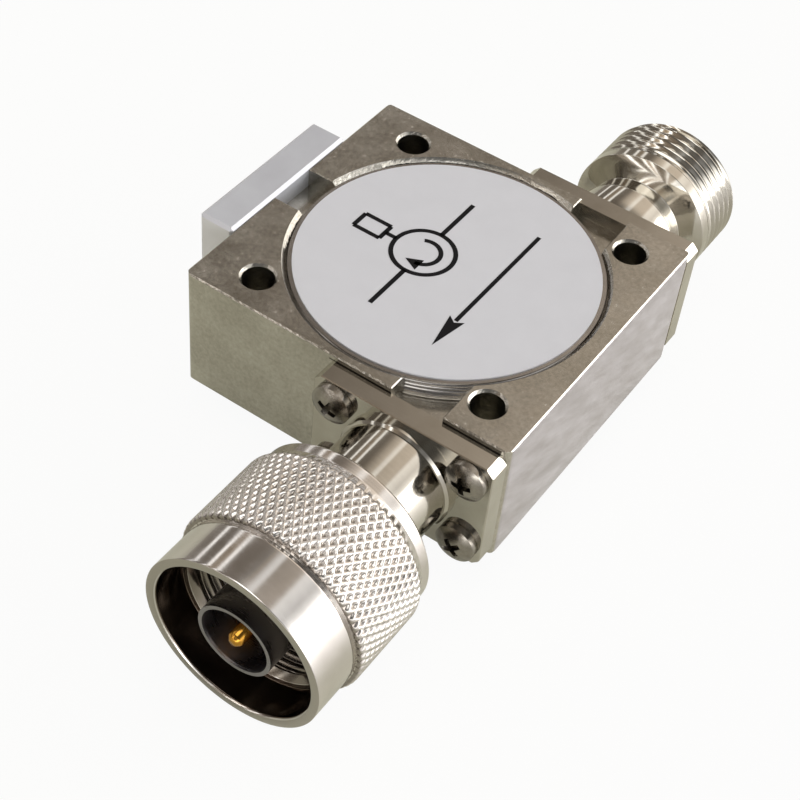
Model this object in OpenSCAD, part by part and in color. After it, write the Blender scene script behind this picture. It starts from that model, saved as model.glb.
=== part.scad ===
// Coaxial isolator: a one-way microwave coupler in a machined block.
// A threaded lid presses a stack of magnets and ferrites into the block. A plug with a
// free-turning coupling nut is screwed to the front, a threaded jack to the back, and a
// load block, which takes the returning power, to the left side.
// The origin is on the lid's axis at the block's bottom face. +Z is up, the plug points
// to -Y, the jack to +Y and the load block to -X. All sizes are in millimetres.

/* [Housing] */
// Width of the block, from the load side to the plain side
housing_w = 38; // [37.5:0.25:42]
// Depth of the block between the two connector flanges
housing_d = 35; // [35:0.25:38]
// Height of the block
housing_h = 15; // [15:0.25:18]
// Distance from the lid's axis to the load side
load_side = 19.5; // [19:0.1:20]
// Radius of the upright corners
corner_r = 0.5; // [0.3:0.1:1]
// Chamfer along the top and bottom edges
edge_chamfer = 0.15; // [0.1:0.05:0.4]
// Thickness of the floor under the lower magnet
floor_t = 1.4; // [1:0.1:2]
// Diameter of the cavity round the stack
cavity_d = 27; // [27:0.25:28]

/* [Mounting holes] */
// Spacing of the four through holes, both ways
mount_pitch = 27; // [26.9:0.05:27.2]
// Diameter of the through holes
mount_hole_d = 3.4; // [2.8:0.1:3.5]
// Chamfer at both mouths of each through hole
mount_chamfer = 0.25; // [0.1:0.05:0.3]

/* [Slots in the top rim] */
// Width of each slot
slot_w = 5.8; // [4:0.1:6]
// Depth of each slot below the top face
slot_depth = 2.3; // [2:0.05:2.35]
// Chamfer along the top edges of each slot
slot_chamfer = 0.1; // [0.1:0.05:0.3]
// Place of the load side's slot along that side, from the lid's axis
side_slot_y = -0.15; // [-0.5:0.05:0.5]

/* [Lid and label] */
// Diameter over the lid's thread
lid_d = 32.2; // [32:0.05:32.3]
// Thickness of the lid
lid_t = 2; // [1.8:0.05:2.1]
// Depth of the lid's face below the top of the block
lid_recess = 0.35; // [0.25:0.05:0.4]
// Radial gap between the lid and its bore
lid_gap = 0.1; // [0.05:0.01:0.12]
// Chamfer at the mouth of the lid's bore
bore_chamfer = 0.5; // [0.3:0.05:0.6]
// Spacing of the grooves of the lid's fine thread
lid_pitch = 0.42; // [0.36:0.02:0.6]
// Depth of the grooves of the lid's fine thread
lid_groove = 0.2; // [0.1:0.02:0.3]
// Diameter of the two blind holes for a pin spanner
spanner_hole_d = 2; // [1.5:0.1:2.5]
// Spacing of the two spanner holes
spanner_pitch = 20; // [16:0.5:26]
// Depth of the two spanner holes
spanner_depth = 0.8; // [0.5:0.1:1]
// Diameter of the label
label_d = 31.3; // [29:0.1:31.8]
// Thickness of the label
label_t = 0.15; // [0.1:0.05:0.2]

/* [Ferrite stack] */
// Diameter of the two ferrite discs
ferrite_d = 19; // [17:0.5:19.2]
// Thickness of each ferrite disc
ferrite_t = 1.9; // [1.5:0.1:2.2]
// Diameter of both magnets, both pole plates and the compensator
stack_d = 26.6; // [26:0.1:26.8]
// Thickness of each steel pole plate
pole_t = 0.8; // [0.5:0.1:1]
// Thickness of the compensator disc under the lid
compensator_t = 0.5; // [0.3:0.1:0.8]
// Thickness of the copper centre conductor
conductor_t = 0.2; // [0.1:0.05:0.3]
// Diameter of the conductor's middle disc
conductor_d = 15; // [12:0.5:16]
// Width of the conductor's three legs
leg_w = 1.8; // [1.4:0.1:2]
// Side of each square port capacitor
capacitor_w = 2.6; // [2:0.1:2.8]
// Thickness of each port capacitor
capacitor_t = 1; // [0.8:0.1:1.2]
// Gap between the ferrites and the brass ground ring
ring_gap = 0.2; // [0.1:0.05:0.3]

/* [Load] */
// Thickness of the load block
load_t = 4.2; // [3.5:0.1:5]
// Length of the load block along the side
load_len = 19.3; // [18:0.1:21]
// Height of the load block
load_h = 15; // [14:0.1:16]
// Height of the load block's lower edge above the bottom of the housing
load_lift = 0.3; // [0:0.05:0.5]
// Place of the load along the side, from the lid's axis
load_y = -0.5; // [-0.8:0.1:0.8]
// Chamfer along all the load block's edges
load_chamfer = 0.35; // [0.2:0.05:0.5]
// Spacing of the load block's two screws
load_screw_pitch = 13.8; // [12.5:0.1:14]
// Side of the square ceramic load chip
chip_w = 4.6; // [4:0.1:5]
// Thickness of the ceramic load chip
chip_t = 1; // [0.6:0.1:1.4]
// Clearance round the load chip in the housing's window
window_gap = 0.3; // [0.2:0.05:0.5]
// Thickness of the load's silver tab
tab_t = 0.15; // [0.1:0.05:0.2]

/* [Connector flanges] */
// Distance from the lid's axis to the connectors' axis
port_x = 8.25; // [8:0.05:8.5]
// Height of the connectors' axis above the bottom face
port_z = 7.4; // [7.3:0.05:7.5]
// Width of each flange
flange_w = 20.2; // [19.6:0.1:20.4]
// Height of each flange
flange_h = 13.8; // [13.6:0.1:14.6]
// Thickness of each flange
flange_t = 2.3; // [2:0.1:3]
// Chamfer on the flange's four corners
flange_corner = 0.8; // [0.5:0.1:1.2]
// Chamfer along the flange's outer edges
flange_chamfer = 0.1; // [0.1:0.05:0.3]
// Spacing of the flange screws across the flange
screw_pitch_x = 15.2; // [14.6:0.1:15.5]
// Spacing of the flange screws up the flange
screw_pitch_z = 9.1; // [8.8:0.1:9.2]
// Diameter of the neck on each flange
neck_d = 12; // [11.5:0.1:12.4]
// Diameter of the coaxial bore through the housing and the flanges
coax_d = 4.1; // [3.8:0.1:4.3]
// Diameter of the thin inner end of each contact
lead_d = 1.3; // [1.1:0.1:1.4]
// Length of the narrow bore in the jack past its flange
bead_floor = 0.6; // [0.4:0.1:1]
// Reach of each contact into the housing
lead_len = 6.5; // [6.3:0.1:6.8]
// Reach of each insulator into the housing
insulator_len = 2.6; // [2.4:0.1:2.7]
// Length of the flat on which a conductor leg rests
lead_flat = 2.4; // [2:0.1:2.5]

/* [Screws] */
// Diameter of the screw shanks
screw_d = 2.5; // [2.2:0.1:2.5]
// Depth of the flange screws in the housing, short of the lid's bore
screw_grip = 1.2; // [1:0.05:1.25]
// Diameter of the pan heads
head_d = 4.3; // [4:0.1:4.4]
// Height of the pan heads
head_h = 1.45; // [1.3:0.05:1.8]
// Height of the straight rim of the pan heads
head_rim = 0.75; // [0.5:0.05:0.9]
// Span of the cross recess
cross_w = 2.6; // [2:0.1:2.8]
// Width of each arm of the cross recess
cross_arm = 0.7; // [0.4:0.05:0.8]
// Depth of the cross recess
cross_depth = 0.9; // [0.6:0.1:1.1]
// Length of the load screws, over the flush head
load_screw_len = 8; // [7:0.5:9]
// Diameter of the load screws' flush heads
flush_head_d = 4.7; // [4.4:0.1:5]

/* [Plug] */
// Length of the neck that shows between the flange and the nut
neck_show = 8.2; // [7.5:0.1:9]
// Diameter of the low ring at the foot of the neck
root_d = 12.7; // [12.5:0.1:13]
// Length of the low ring at the foot of the neck
root_len = 0.9; // [0.6:0.1:1.2]
// Chamfer on the low ring
root_chamfer = 0.25; // [0.1:0.05:0.3]
// Length of the neck inside the nut
neck_inside = 6.9; // [6:0.1:7.5]
// Outer diameter of the sleeve contact
sleeve_d = 8; // [7.8:0.05:8.1]
// Wall of the sleeve contact
sleeve_wall = 0.45; // [0.3:0.05:0.5]
// Diameter of the sleeve's collar, which is pressed into the neck
seat_d = 8.8; // [8.4:0.1:9]
// Depth of the collar's seat in the neck
seat_depth = 2; // [1.5:0.1:2.5]
// Distance of the sleeve's lip behind the nut's face
sleeve_recess = 0.5; // [0.2:0.05:0.7]
// Diameter of the pin's tip
tip_d = 1.62; // [1.5:0.02:1.68]
// Length of the pin's tip
tip_len = 4.2; // [3.5:0.1:5]
// Distance of the pin's tip behind the nut's face
tip_recess = 0.3; // [0:0.05:1]
// Diameter of the contacts' thick part
contact_d = 3.04; // [2.9:0.02:3.2]
// Depth of the insulators' wide part in the connectors
bead_len = 5.4; // [4.5:0.1:6]
// Thickness of the gasket inside the nut
gasket_t = 1.2; // [0.8:0.1:1.6]
// Bore of the gasket, through which a jack's mouth reaches the sleeve
gasket_bore_d = 9.4; // [9.1:0.1:9.8]

/* [Coupling nut] */
// Diameter of the nut's smooth front part
nose_d = 19.1; // [18.8:0.1:19.4]
// Length of the nut's smooth front part
nose_len = 5; // [4.5:0.1:5.5]
// Width of the groove between the front part and the knurl
groove_w = 0.4; // [0.3:0.05:0.6]
// Depth of that groove below the front part
groove_depth = 0.25; // [0.1:0.05:0.35]
// Diameter over the knurl's points
knurl_d = 20.3; // [20.1:0.1:20.6]
// Depth of the knurl
knurl_depth = 0.42; // [0.3:0.02:0.45]
// Length of the knurled band
knurl_len = 9.2; // [8.5:0.1:10]
// Helical grooves each way round the knurl
knurl_starts = 62; // [50:1:70]
// Rows of half diamonds along the knurl
knurl_rows = 10; // [8:1:12]
// Diameter of the nut's back collar
collar_d = 19; // [18.6:0.1:19.2]
// Length of the nut's back collar
collar_len = 1.5; // [1:0.1:2]
// Length of the slope from the collar up to the knurl
slope_len = 0.9; // [0.5:0.1:1.2]
// Chamfer at the back and at the face of the nut
nut_chamfer = 0.4; // [0.2:0.05:0.6]
// Thickness of the nut's back wall
nut_wall = 2.3; // [2:0.1:2.8]
// Core diameter of the nut's thread
nut_thread_d = 14.8; // [14.7:0.02:14.96]
// Chamfer at the front end of the nut's thread
lead_in = 0.6; // [0.3:0.05:0.7]
// Diameter of the plain bore at the nut's mouth
mouth_d = 17; // [16.4:0.1:17.2]
// Depth of the plain bore at the nut's mouth
mouth_depth = 3.85; // [3.5:0.05:4.5]
// Chamfer at the nut's mouth
mouth_chamfer = 0.2; // [0.1:0.05:0.4]
// Radial running gap between the nut and the neck
run_gap = 0.08; // [0.04:0.01:0.1]

/* [Retaining ring] */
// Thickness of the ring that holds the nut on the neck
ring_t = 1; // [0.8:0.1:1.2]
// Outer diameter of the ring
ring_d = 15.3; // [15.2:0.1:15.4]
// Depth of the ring's groove in the neck
ring_seat = 0.45; // [0.3:0.05:0.6]
// End play of the nut on the ring, at each side
ring_play = 0.1; // [0.05:0.01:0.2]
// Angle of the gap in the ring
ring_split = 30; // [15:1:45]

/* [Jack] */
// Length of the jack from the housing to its mouth
jack_len = 17.4; // [16.8:0.1:19]
// Diameter over the jack's thread
jack_thread_d = 15.88; // [15.7:0.02:15.9]
// Length of the threaded barrel with its plain shoulder
barrel_len = 8.2; // [7.8:0.1:8.4]
// Chamfer at the mouth of the barrel, inside and outside
barrel_chamfer = 0.5; // [0.3:0.05:0.7]
// Length of the slope at the back of the barrel
shoulder_len = 0.5; // [0.3:0.1:0.6]
// Diameter of the waist behind the barrel
waist_d = 11; // [10.5:0.1:11.4]
// Width of the waist
waist_w = 2.1; // [1.6:0.1:2.4]
// Diameter at which the waist's steep slope meets the barrel's
step_d = 13.8; // [13:0.1:14.4]
// Length of the waist's steep slope
step_len = 0.5; // [0.3:0.1:0.8]
// Bore of the jack's mouth
socket_d = 8.2; // [8.1:0.02:8.3]
// Distance of the contact's end behind the jack's face
contact_recess = 1.2; // [0.8:0.1:2]
// Bore of the socket contact
contact_bore_d = 1.66; // [1.6:0.02:1.8]
// Depth of the socket contact's bore
contact_bore_len = 6; // [5:0.1:6.5]
// Length of the four slits in the socket contact
slit_len = 4.5; // [3.5:0.1:5]
// Width of the slits in the socket contact
slit_w = 0.25; // [0.2:0.05:0.3]

/* [Hidden] */
$fn = 96;
// Cut-outs run this far past the faces that they open
over = 1;
// Radial gap between a piece and the bore that locates it
fit_gap = 0.03;
// Radial gap round a screw in its tapped hole, and in the hole that it passes through
tap_gap = 0.05;
pass_gap = 0.15;

// Heights in the stack, from the bottom face upwards
lid_top = housing_h - lid_recess;
lid_z = lid_top - lid_t;
conductor_z = port_z - conductor_t / 2;
lower_ferrite_z = conductor_z - ferrite_t;
lower_pole_z = lower_ferrite_z - pole_t;
upper_ferrite_z = conductor_z + conductor_t;
upper_pole_z = upper_ferrite_z + ferrite_t;
upper_magnet_z = upper_pole_z + pole_t;
compensator_z = lid_z - compensator_t;
capacitor_z = conductor_z - capacitor_t;

// The lid's bore, and where the contacts' inner ends lie along Y
lid_bore_d = lid_d + 2 * lid_gap;
lead_end = housing_d / 2 - lead_len;
load_x = -load_side;
leg_angle = 60;
leg_bend = (cavity_d / 2 + ferrite_d / 2) / 2;
capacitor_r = (cavity_d / 2 + ferrite_d / 2 + ring_gap) / 2;
load_leg = (load_side + cavity_d / 2) / 2;
window_w = chip_w + 2 * window_gap;
tab_lap = 1;

// Places along each connector's axis, outwards from the housing's face
screw_len = flange_t + screw_grip;
nut_s = flange_t + neck_show;
slope_s = nut_s + collar_len;
knurl_s = slope_s + slope_len;
groove_s = knurl_s + knurl_len;
nose_s = groove_s + groove_w;
nut_face = nose_s + nose_len;
ring_slot_s = nut_s + nut_wall;
ring_s = ring_slot_s + ring_play;
thread_s = ring_s + ring_t + ring_play;
neck_s = nut_s + neck_inside;
plug_bead_s = neck_s + gasket_t - bead_len;
tip_s = nut_face - tip_recess;
sleeve_lip = nut_face - sleeve_recess;
barrel_s = jack_len - barrel_len;
step_s = barrel_s - step_len;
waist_s = step_s - waist_w;
jack_bead_s = flange_t + bead_floor;
contact_end = jack_len - contact_recess;

// Colours as the photograph shows them
nickel = [0.60, 0.57, 0.52];
bright_nickel = [0.80, 0.78, 0.75];
dark_steel = [0.36, 0.34, 0.32];
silver_anodised = [0.75, 0.76, 0.78];
label_white = [0.80, 0.80, 0.83];
gold = [0.83, 0.62, 0.25];
ptfe = [0.93, 0.93, 0.90];
copper = [0.78, 0.47, 0.30];
brass = [0.80, 0.66, 0.38];
ferrite_black = [0.16, 0.16, 0.17];
magnet_grey = [0.30, 0.30, 0.32];
ceramic = [0.90, 0.88, 0.82];
rubber = [0.12, 0.12, 0.12];

// Puts a connector's piece on its face of the housing. The piece's own Z runs outwards.
// side is -1 for the plug and 1 for the jack.
module at_port(side) {
  translate([port_x, side * housing_d / 2, port_z]) rotate([-side * 90, 0, 0]) children();
}

// The four places of a flange's screws
module at_flange_screws() {
  for (x = [-1, 1], z = [-1, 1])
    translate([x * screw_pitch_x / 2, z * screw_pitch_z / 2, 0]) children();
}

// The two places of the load block's screws, with Z running into the block
module at_load_screws() {
  for (y = [-1, 1])
    translate([load_x - load_t, load_y + y * load_screw_pitch / 2, port_z])
      rotate([0, 90, 0]) children();
}

// A rectangle with its four corners cut at 45 degrees, centred
module cut_rectangle(w, h, cut) {
  polygon([
    [-w / 2 + cut, -h / 2], [w / 2 - cut, -h / 2], [w / 2, -h / 2 + cut], [w / 2, h / 2 - cut],
    [w / 2 - cut, h / 2], [-w / 2 + cut, h / 2], [-w / 2, h / 2 - cut], [-w / 2, -h / 2 + cut]
  ]);
}

// A rectangle with round corners, centred
module round_rectangle(w, h, r) {
  square([w - 2 * r, h], center = true);
  square([w, h - 2 * r], center = true);
  for (x = [-1, 1], y = [-1, 1])
    translate([x * (w / 2 - r), y * (h / 2 - r)]) circle(r);
}

// A centred block whose long edges are chamfered: its outline seen from above is the
// child, and its outlines from the front and from the side have their corners cut
module chamfered_block(w, d, h, cut) {
  intersection() {
    translate([0, 0, -h / 2]) linear_extrude(h) children();
    rotate([90, 0, 0]) translate([0, 0, -d / 2]) linear_extrude(d) cut_rectangle(w, h, cut);
    rotate([0, 90, 0]) translate([0, 0, -w / 2]) linear_extrude(w) cut_rectangle(h, d, cut);
  }
}

// A hole through the whole height of h, with a chamfer at both mouths
module chamfered_hole(d, h, cut) {
  translate([0, 0, -over]) cylinder(d = d, h = h + 2 * over);
  translate([0, 0, -over]) cylinder(d1 = d + 2 * cut + 2 * over, d2 = d, h = cut + over);
  translate([0, 0, h - cut]) cylinder(d1 = d, d2 = d + 2 * cut + 2 * over, h = cut + over);
}

// One slot through the top rim, running along +Y from the middle of the block to reach
module rim_slot(reach) {
  half = slot_w / 2;
  lip = slot_chamfer + over;
  translate([0, reach + over, housing_h - slot_depth]) rotate([90, 0, 0])
    linear_extrude(reach + over)
      polygon([
        [-half, 0], [half, 0], [half, slot_depth - slot_chamfer],
        [half + lip, slot_depth + over], [-half - lip, slot_depth + over],
        [-half, slot_depth - slot_chamfer]
      ]);
}

// The machined block with its cavity, ports, slots and holes
module housing() {
  color(nickel) difference() {
    translate([housing_w / 2 - load_side, 0, housing_h / 2])
      chamfered_block(housing_w, housing_d, housing_h, edge_chamfer)
        round_rectangle(housing_w, housing_d, corner_r);
    translate([0, 0, floor_t]) cylinder(d = cavity_d, h = housing_h);
    translate([0, 0, lid_z]) cylinder(d = lid_bore_d, h = housing_h);
    translate([0, 0, housing_h - bore_chamfer])
      cylinder(d1 = lid_bore_d, d2 = lid_bore_d + 2 * bore_chamfer + 2 * over, h = bore_chamfer + over);
    for (x = [-1, 1], y = [-1, 1])
      translate([x * mount_pitch / 2, y * mount_pitch / 2, 0])
        chamfered_hole(mount_hole_d, housing_h, mount_chamfer);
    for (side = [-1, 1]) {
      at_port(side) translate([0, 0, -housing_d / 2 + port_x]) cylinder(d = coax_d, h = housing_d / 2);
      at_port(side) at_flange_screws() translate([0, 0, -screw_grip])
        cylinder(d = screw_d + 2 * tap_gap, h = screw_grip + over);
      translate([port_x, 0, 0]) rotate([0, 0, side < 0 ? 180 : 0])
        rim_slot(housing_d / 2);
    }
    translate([0, side_slot_y, 0]) rotate([0, 0, 90]) rim_slot(load_side);
    translate([load_x - over, load_y - window_w / 2, port_z - window_w / 2])
      cube([load_side - cavity_d / 2 + 2 * over, window_w, window_w]);
    at_load_screws() cylinder(d = screw_d + 2 * tap_gap, h = load_screw_len);
  }
}

// Steel lid with the turned grooves of its fine thread and two blind spanner holes
module lid() {
  grooves = floor(lid_t / lid_pitch);
  half = lid_pitch * 0.4;
  flare = half * (1 + over / lid_groove);
  color(dark_steel) difference() {
    translate([0, 0, lid_z]) cylinder(d = lid_d, h = lid_t);
    for (k = [0 : grooves - 1])
      translate([0, 0, lid_top - lid_pitch * (k + 0.6)]) rotate_extrude()
        polygon([[lid_d / 2 - lid_groove, 0], [lid_d / 2 + over, -flare], [lid_d / 2 + over, flare]]);
    for (x = [-1, 1])
      translate([x * spanner_pitch / 2, 0, lid_top - spanner_depth])
        cylinder(d = spanner_hole_d, h = spanner_depth + over);
  }
}

// Printed label on the lid
module label() {
  color(label_white) translate([0, 0, lid_top]) cylinder(d = label_d, h = label_t);
}

// A plain disc of the stack between two heights
module stack_disc(z0, z1) {
  translate([0, 0, z0]) cylinder(d = stack_d, h = z1 - z0);
}

module compensator_disc() { color(dark_steel) stack_disc(compensator_z, lid_z); }
module upper_magnet() { color(magnet_grey) stack_disc(upper_magnet_z, compensator_z); }
module upper_pole_plate() { color(bright_nickel) stack_disc(upper_pole_z, upper_magnet_z); }
module lower_pole_plate() { color(bright_nickel) stack_disc(lower_pole_z, lower_ferrite_z); }
module lower_magnet() { color(magnet_grey) stack_disc(floor_t, lower_pole_z); }

// A ferrite disc with its lower face at z0
module ferrite(z0) {
  color(ferrite_black) translate([0, 0, z0]) cylinder(d = ferrite_d, h = ferrite_t);
}

module upper_ferrite() { ferrite(upper_ferrite_z); }
module lower_ferrite() { ferrite(lower_ferrite_z); }

// A flat strip of the conductor from point a to point b
module strip(a, b) {
  run = b - a;
  translate(a) rotate([0, 0, atan2(run[1], run[0])])
    translate([0, -leg_w / 2]) square([norm(run), leg_w]);
}

// Copper junction between the ferrites, with a leg to each contact and one to the load
module centre_conductor() {
  color(copper) translate([0, 0, conductor_z]) linear_extrude(conductor_t) {
    circle(d = conductor_d);
    for (side = [-1, 1]) {
      bend = leg_bend * [cos(leg_angle), side * sin(leg_angle)];
      pad = [port_x, side * (lead_end + leg_w / 4)];
      strip([0, 0], bend);
      translate(bend) circle(d = leg_w);
      strip(bend, pad);
      translate(pad) circle(d = leg_w);
    }
    strip([0, 0], [-load_leg, 0]);
  }
}

// Brass ring on the lower pole plate that carries the capacitors
module ground_ring() {
  color(brass) translate([0, 0, lower_ferrite_z]) difference() {
    cylinder(d = stack_d, h = capacitor_z - lower_ferrite_z);
    translate([0, 0, -over]) cylinder(d = ferrite_d + 2 * ring_gap, h = ferrite_t + 2 * over);
  }
}

// Three ceramic capacitors, one under each leg
module port_capacitors() {
  color(ceramic)
    for (a = [leg_angle, 180, -leg_angle])
      rotate([0, 0, a]) translate([capacitor_r - capacitor_w / 2, -capacitor_w / 2, capacitor_z])
        cube([capacitor_w, capacitor_w, capacitor_t]);
}

// Anodised block that takes the heat of the load
module load_block() {
  color(silver_anodised) difference() {
    translate([load_x - load_t / 2, load_y, load_lift + load_h / 2])
      chamfered_block(load_t, load_len, load_h, load_chamfer) cut_rectangle(load_t, load_len, load_chamfer);
    at_load_screws() {
      translate([0, 0, -over]) cylinder(d = screw_d + 2 * pass_gap, h = load_t + 2 * over);
      flush_head(pass_gap);
    }
  }
}

// The cone of a flush head, wider all round by gap, with its face at Z = 0
module flush_head(gap) {
  depth = (flush_head_d - screw_d) / 2;
  cylinder(d1 = flush_head_d + 2 * gap, d2 = screw_d + 2 * gap, h = depth);
  if (gap > 0)
    translate([0, 0, -over]) cylinder(d = flush_head_d + 2 * gap, h = over);
}

// Cross recess, cut downwards from Z = 0
module cross_recess() {
  translate([0, 0, -cross_depth]) {
    for (a = [0, 90]) rotate([0, 0, a])
      translate([-cross_w / 2, -cross_arm / 2, 0]) cube([cross_w, cross_arm, cross_depth + over]);
    cylinder(d1 = cross_arm, d2 = cross_arm * 2.4, h = cross_depth);
  }
}

// Ceramic resistor chip on the load block's inner face
module load_chip() {
  color(ceramic) translate([load_x, load_y - chip_w / 2, port_z - chip_w / 2])
    cube([chip_t, chip_w, chip_w]);
}

// Silver tab from the load chip to the conductor's third leg
module load_tab() {
  start = load_x + chip_t;
  color(bright_nickel) translate([start, load_y - leg_w / 2, upper_ferrite_z])
    cube([-load_leg + tab_lap - start, leg_w, tab_t]);
}

// Two flush screws through the load block
module load_screws() {
  color(dark_steel) at_load_screws() difference() {
    union() {
      flush_head(0);
      cylinder(d = screw_d, h = load_screw_len);
    }
    mirror([0, 0, 1]) cross_recess();
  }
}

// One pan-head screw with its seat at Z = 0 and its head above
module pan_screw() {
  cap = head_h - head_rim;
  dome_r = (head_d * head_d / 4 + cap * cap) / (2 * cap);
  difference() {
    union() {
      cylinder(d = head_d, h = head_rim);
      translate([0, 0, head_rim]) intersection() {
        cylinder(d = head_d, h = cap + over);
        translate([0, 0, cap - dome_r]) sphere(dome_r);
      }
      translate([0, 0, -screw_len]) cylinder(d = screw_d, h = screw_len);
    }
    translate([0, 0, head_h]) cross_recess();
  }
}

// The four screws of one flange, each with its recess at another angle
module flange_screws(side) {
  color(dark_steel) at_port(side) translate([0, 0, flange_t])
    for (x = [-1, 1], z = [-1, 1])
      translate([x * screw_pitch_x / 2, z * screw_pitch_z / 2, 0])
        rotate([0, 0, 25 + 35 * x + 20 * z]) pan_screw();
}

module plug_screws() { flange_screws(-1); }
module jack_screws() { flange_screws(1); }

// A connector's flange with its back face at Z = 0, without its holes, and with the low
// ring at the foot of its neck. Its front edges are chamfered and its back edges are not.
module flange() {
  intersection() {
    chamfered_block(flange_w, flange_h, 2 * flange_t, flange_chamfer)
      cut_rectangle(flange_w, flange_h, flange_corner);
    translate([-flange_w, -flange_h, 0]) cube(2 * flange_w);
  }
  translate([0, 0, flange_t]) cylinder(d = root_d, h = root_len - root_chamfer);
  translate([0, 0, flange_t + root_len - root_chamfer])
    cylinder(d1 = root_d, d2 = root_d - 2 * root_chamfer, h = root_chamfer);
}

// The holes in a flange that its screws pass through
module flange_holes() {
  at_flange_screws() translate([0, 0, -over])
    cylinder(d = screw_d + 2 * pass_gap, h = flange_t + 2 * over);
}

// Plug's flange and neck, turned and milled from one bar
module plug_body() {
  inner_d = sleeve_d - 2 * sleeve_wall;
  color(bright_nickel) at_port(-1) difference() {
    union() {
      flange();
      cylinder(d = neck_d, h = neck_s);
    }
    flange_holes();
    translate([0, 0, -over]) cylinder(d = coax_d, h = neck_s);
    translate([0, 0, plug_bead_s]) cylinder(d = inner_d, h = neck_s);
    translate([0, 0, neck_s - seat_depth]) cylinder(d = seat_d + 2 * fit_gap, h = seat_depth + over);
    translate([0, 0, ring_s - fit_gap]) difference() {
      cylinder(d = neck_d + 2 * over, h = ring_t + 2 * fit_gap);
      translate([0, 0, -over]) cylinder(d = neck_d - 2 * ring_seat, h = ring_t + 2 * over);
    }
  }
}

// Plug's insulator: a thin part in the coaxial bore and a wide bead at the sleeve
module plug_insulator() {
  bead_d = sleeve_d - 2 * sleeve_wall - 2 * fit_gap;
  color(ptfe) at_port(-1) difference() {
    union() {
      translate([0, 0, -insulator_len])
        cylinder(d = coax_d - 2 * fit_gap, h = plug_bead_s + insulator_len + fit_gap);
      translate([0, 0, plug_bead_s + fit_gap]) cylinder(d = bead_d, h = bead_len - fit_gap);
    }
    translate([0, 0, -insulator_len - over])
      cylinder(d = lead_d + 2 * fit_gap, h = plug_bead_s + bead_len + insulator_len + 2 * over);
    translate([0, 0, plug_bead_s + over])
      cylinder(d = contact_d + 2 * fit_gap, h = bead_len + over);
  }
}

// The thin inner end of a contact, up to z1, with the flat that a conductor leg lies on.
// The flat faces up in the housing, which is the piece's own -Y or +Y.
module contact_lead(side, z1) {
  difference() {
    translate([0, 0, -lead_len]) cylinder(d = lead_d, h = lead_len + z1);
    translate([-lead_d, side > 0 ? -lead_d - conductor_t / 2 : -conductor_t / 2, -lead_len - over])
      cube([2 * lead_d, lead_d + conductor_t, lead_flat + over]);
  }
}

// Plug's gold pin
module plug_pin() {
  shoulder = plug_bead_s + over;
  step = (contact_d - tip_d) / 2;
  nose = tip_d / 4;
  color(gold) at_port(-1) {
    contact_lead(-1, shoulder + over);
    translate([0, 0, shoulder]) cylinder(d = contact_d, h = tip_s - tip_len - shoulder);
    translate([0, 0, tip_s - tip_len]) cylinder(d1 = contact_d, d2 = tip_d, h = step);
    translate([0, 0, tip_s - tip_len + step]) cylinder(d = tip_d, h = tip_len - step - nose);
    translate([0, 0, tip_s - nose]) cylinder(d1 = tip_d, d2 = tip_d / 2, h = nose);
  }
}

// Plug's outer contact, a thin sleeve with a collar seated in the neck
module plug_sleeve() {
  root = neck_s - seat_depth;
  color(bright_nickel) at_port(-1) difference() {
    union() {
      translate([0, 0, root]) cylinder(d = seat_d, h = seat_depth);
      translate([0, 0, root]) cylinder(d = sleeve_d, h = sleeve_lip - root);
    }
    translate([0, 0, root - over])
      cylinder(d = sleeve_d - 2 * sleeve_wall, h = sleeve_lip - root + 2 * over);
    translate([0, 0, sleeve_lip - sleeve_wall / 2])
      cylinder(d1 = sleeve_d - 2 * sleeve_wall, d2 = sleeve_d - sleeve_wall, h = sleeve_wall / 2 + over);
  }
}

// Soft gasket on the end of the neck
module plug_gasket() {
  color(rubber) at_port(-1) translate([0, 0, neck_s]) difference() {
    cylinder(d = neck_d, h = gasket_t);
    translate([0, 0, -over]) cylinder(d = gasket_bore_d, h = gasket_t + 2 * over);
  }
}

// Split ring that sits in the neck's groove and holds the nut
module retaining_ring() {
  color(brass) at_port(-1) translate([0, 0, ring_s]) difference() {
    cylinder(d = ring_d, h = ring_t);
    translate([0, 0, -over]) cylinder(d = neck_d - 2 * ring_seat + 2 * fit_gap, h = ring_t + 2 * over);
    translate([0, 0, -over]) linear_extrude(ring_t + 2 * over)
      polygon([[0, 0], ring_d * [sin(ring_split / 2), cos(ring_split / 2)],
        ring_d * [-sin(ring_split / 2), cos(ring_split / 2)]]);
  }
}

// Diamond knurl as a solid band of height h. Grooves run round it both ways: where two of
// them cross the surface is low, and halfway between crossings a pyramid has its point.
// On a grid of rows and half columns, low and high points alternate like a chessboard.
module knurl(d, depth, h, starts, rows) {
  columns = 2 * starts;
  low = d / 2 - depth;
  // The band's two ends slope down to just under the grooves
  run_out = depth / 2;
  end_r = low - run_out / 2;
  rings = rows + 2;
  function height(k) = k == 0 ? 0 : k == rings ? h : run_out + (h - 2 * run_out) * (k - 1) / rows;
  function radius(j, k) = k == 0 || k == rings ? end_r : low + depth * ((j + k) % 2);
  function at(j, k) = k * columns + j % columns;
  points = [
    for (k = [0 : rings], j = [0 : columns - 1])
      let (a = 360 * j / columns, r = radius(j, k)) [r * cos(a), r * sin(a), height(k)]
  ];
  // Each square of the grid is split in two along the groove that crosses it
  function split(a, b, c, d, rising) = rising ? [[a, d, c], [a, c, b]] : [[a, d, b], [b, d, c]];
  walls = [
    for (k = [0 : rings - 1], j = [0 : columns - 1])
      each split(at(j, k), at(j + 1, k), at(j + 1, k + 1), at(j, k + 1), (j + k) % 2 == 0)
  ];
  bottom = [for (j = [0 : columns - 1]) at(j, 0)];
  top = [for (j = [columns - 1 : -1 : 0]) at(j, rings)];
  polyhedron(points, concat(walls, [bottom, top]));
}

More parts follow.
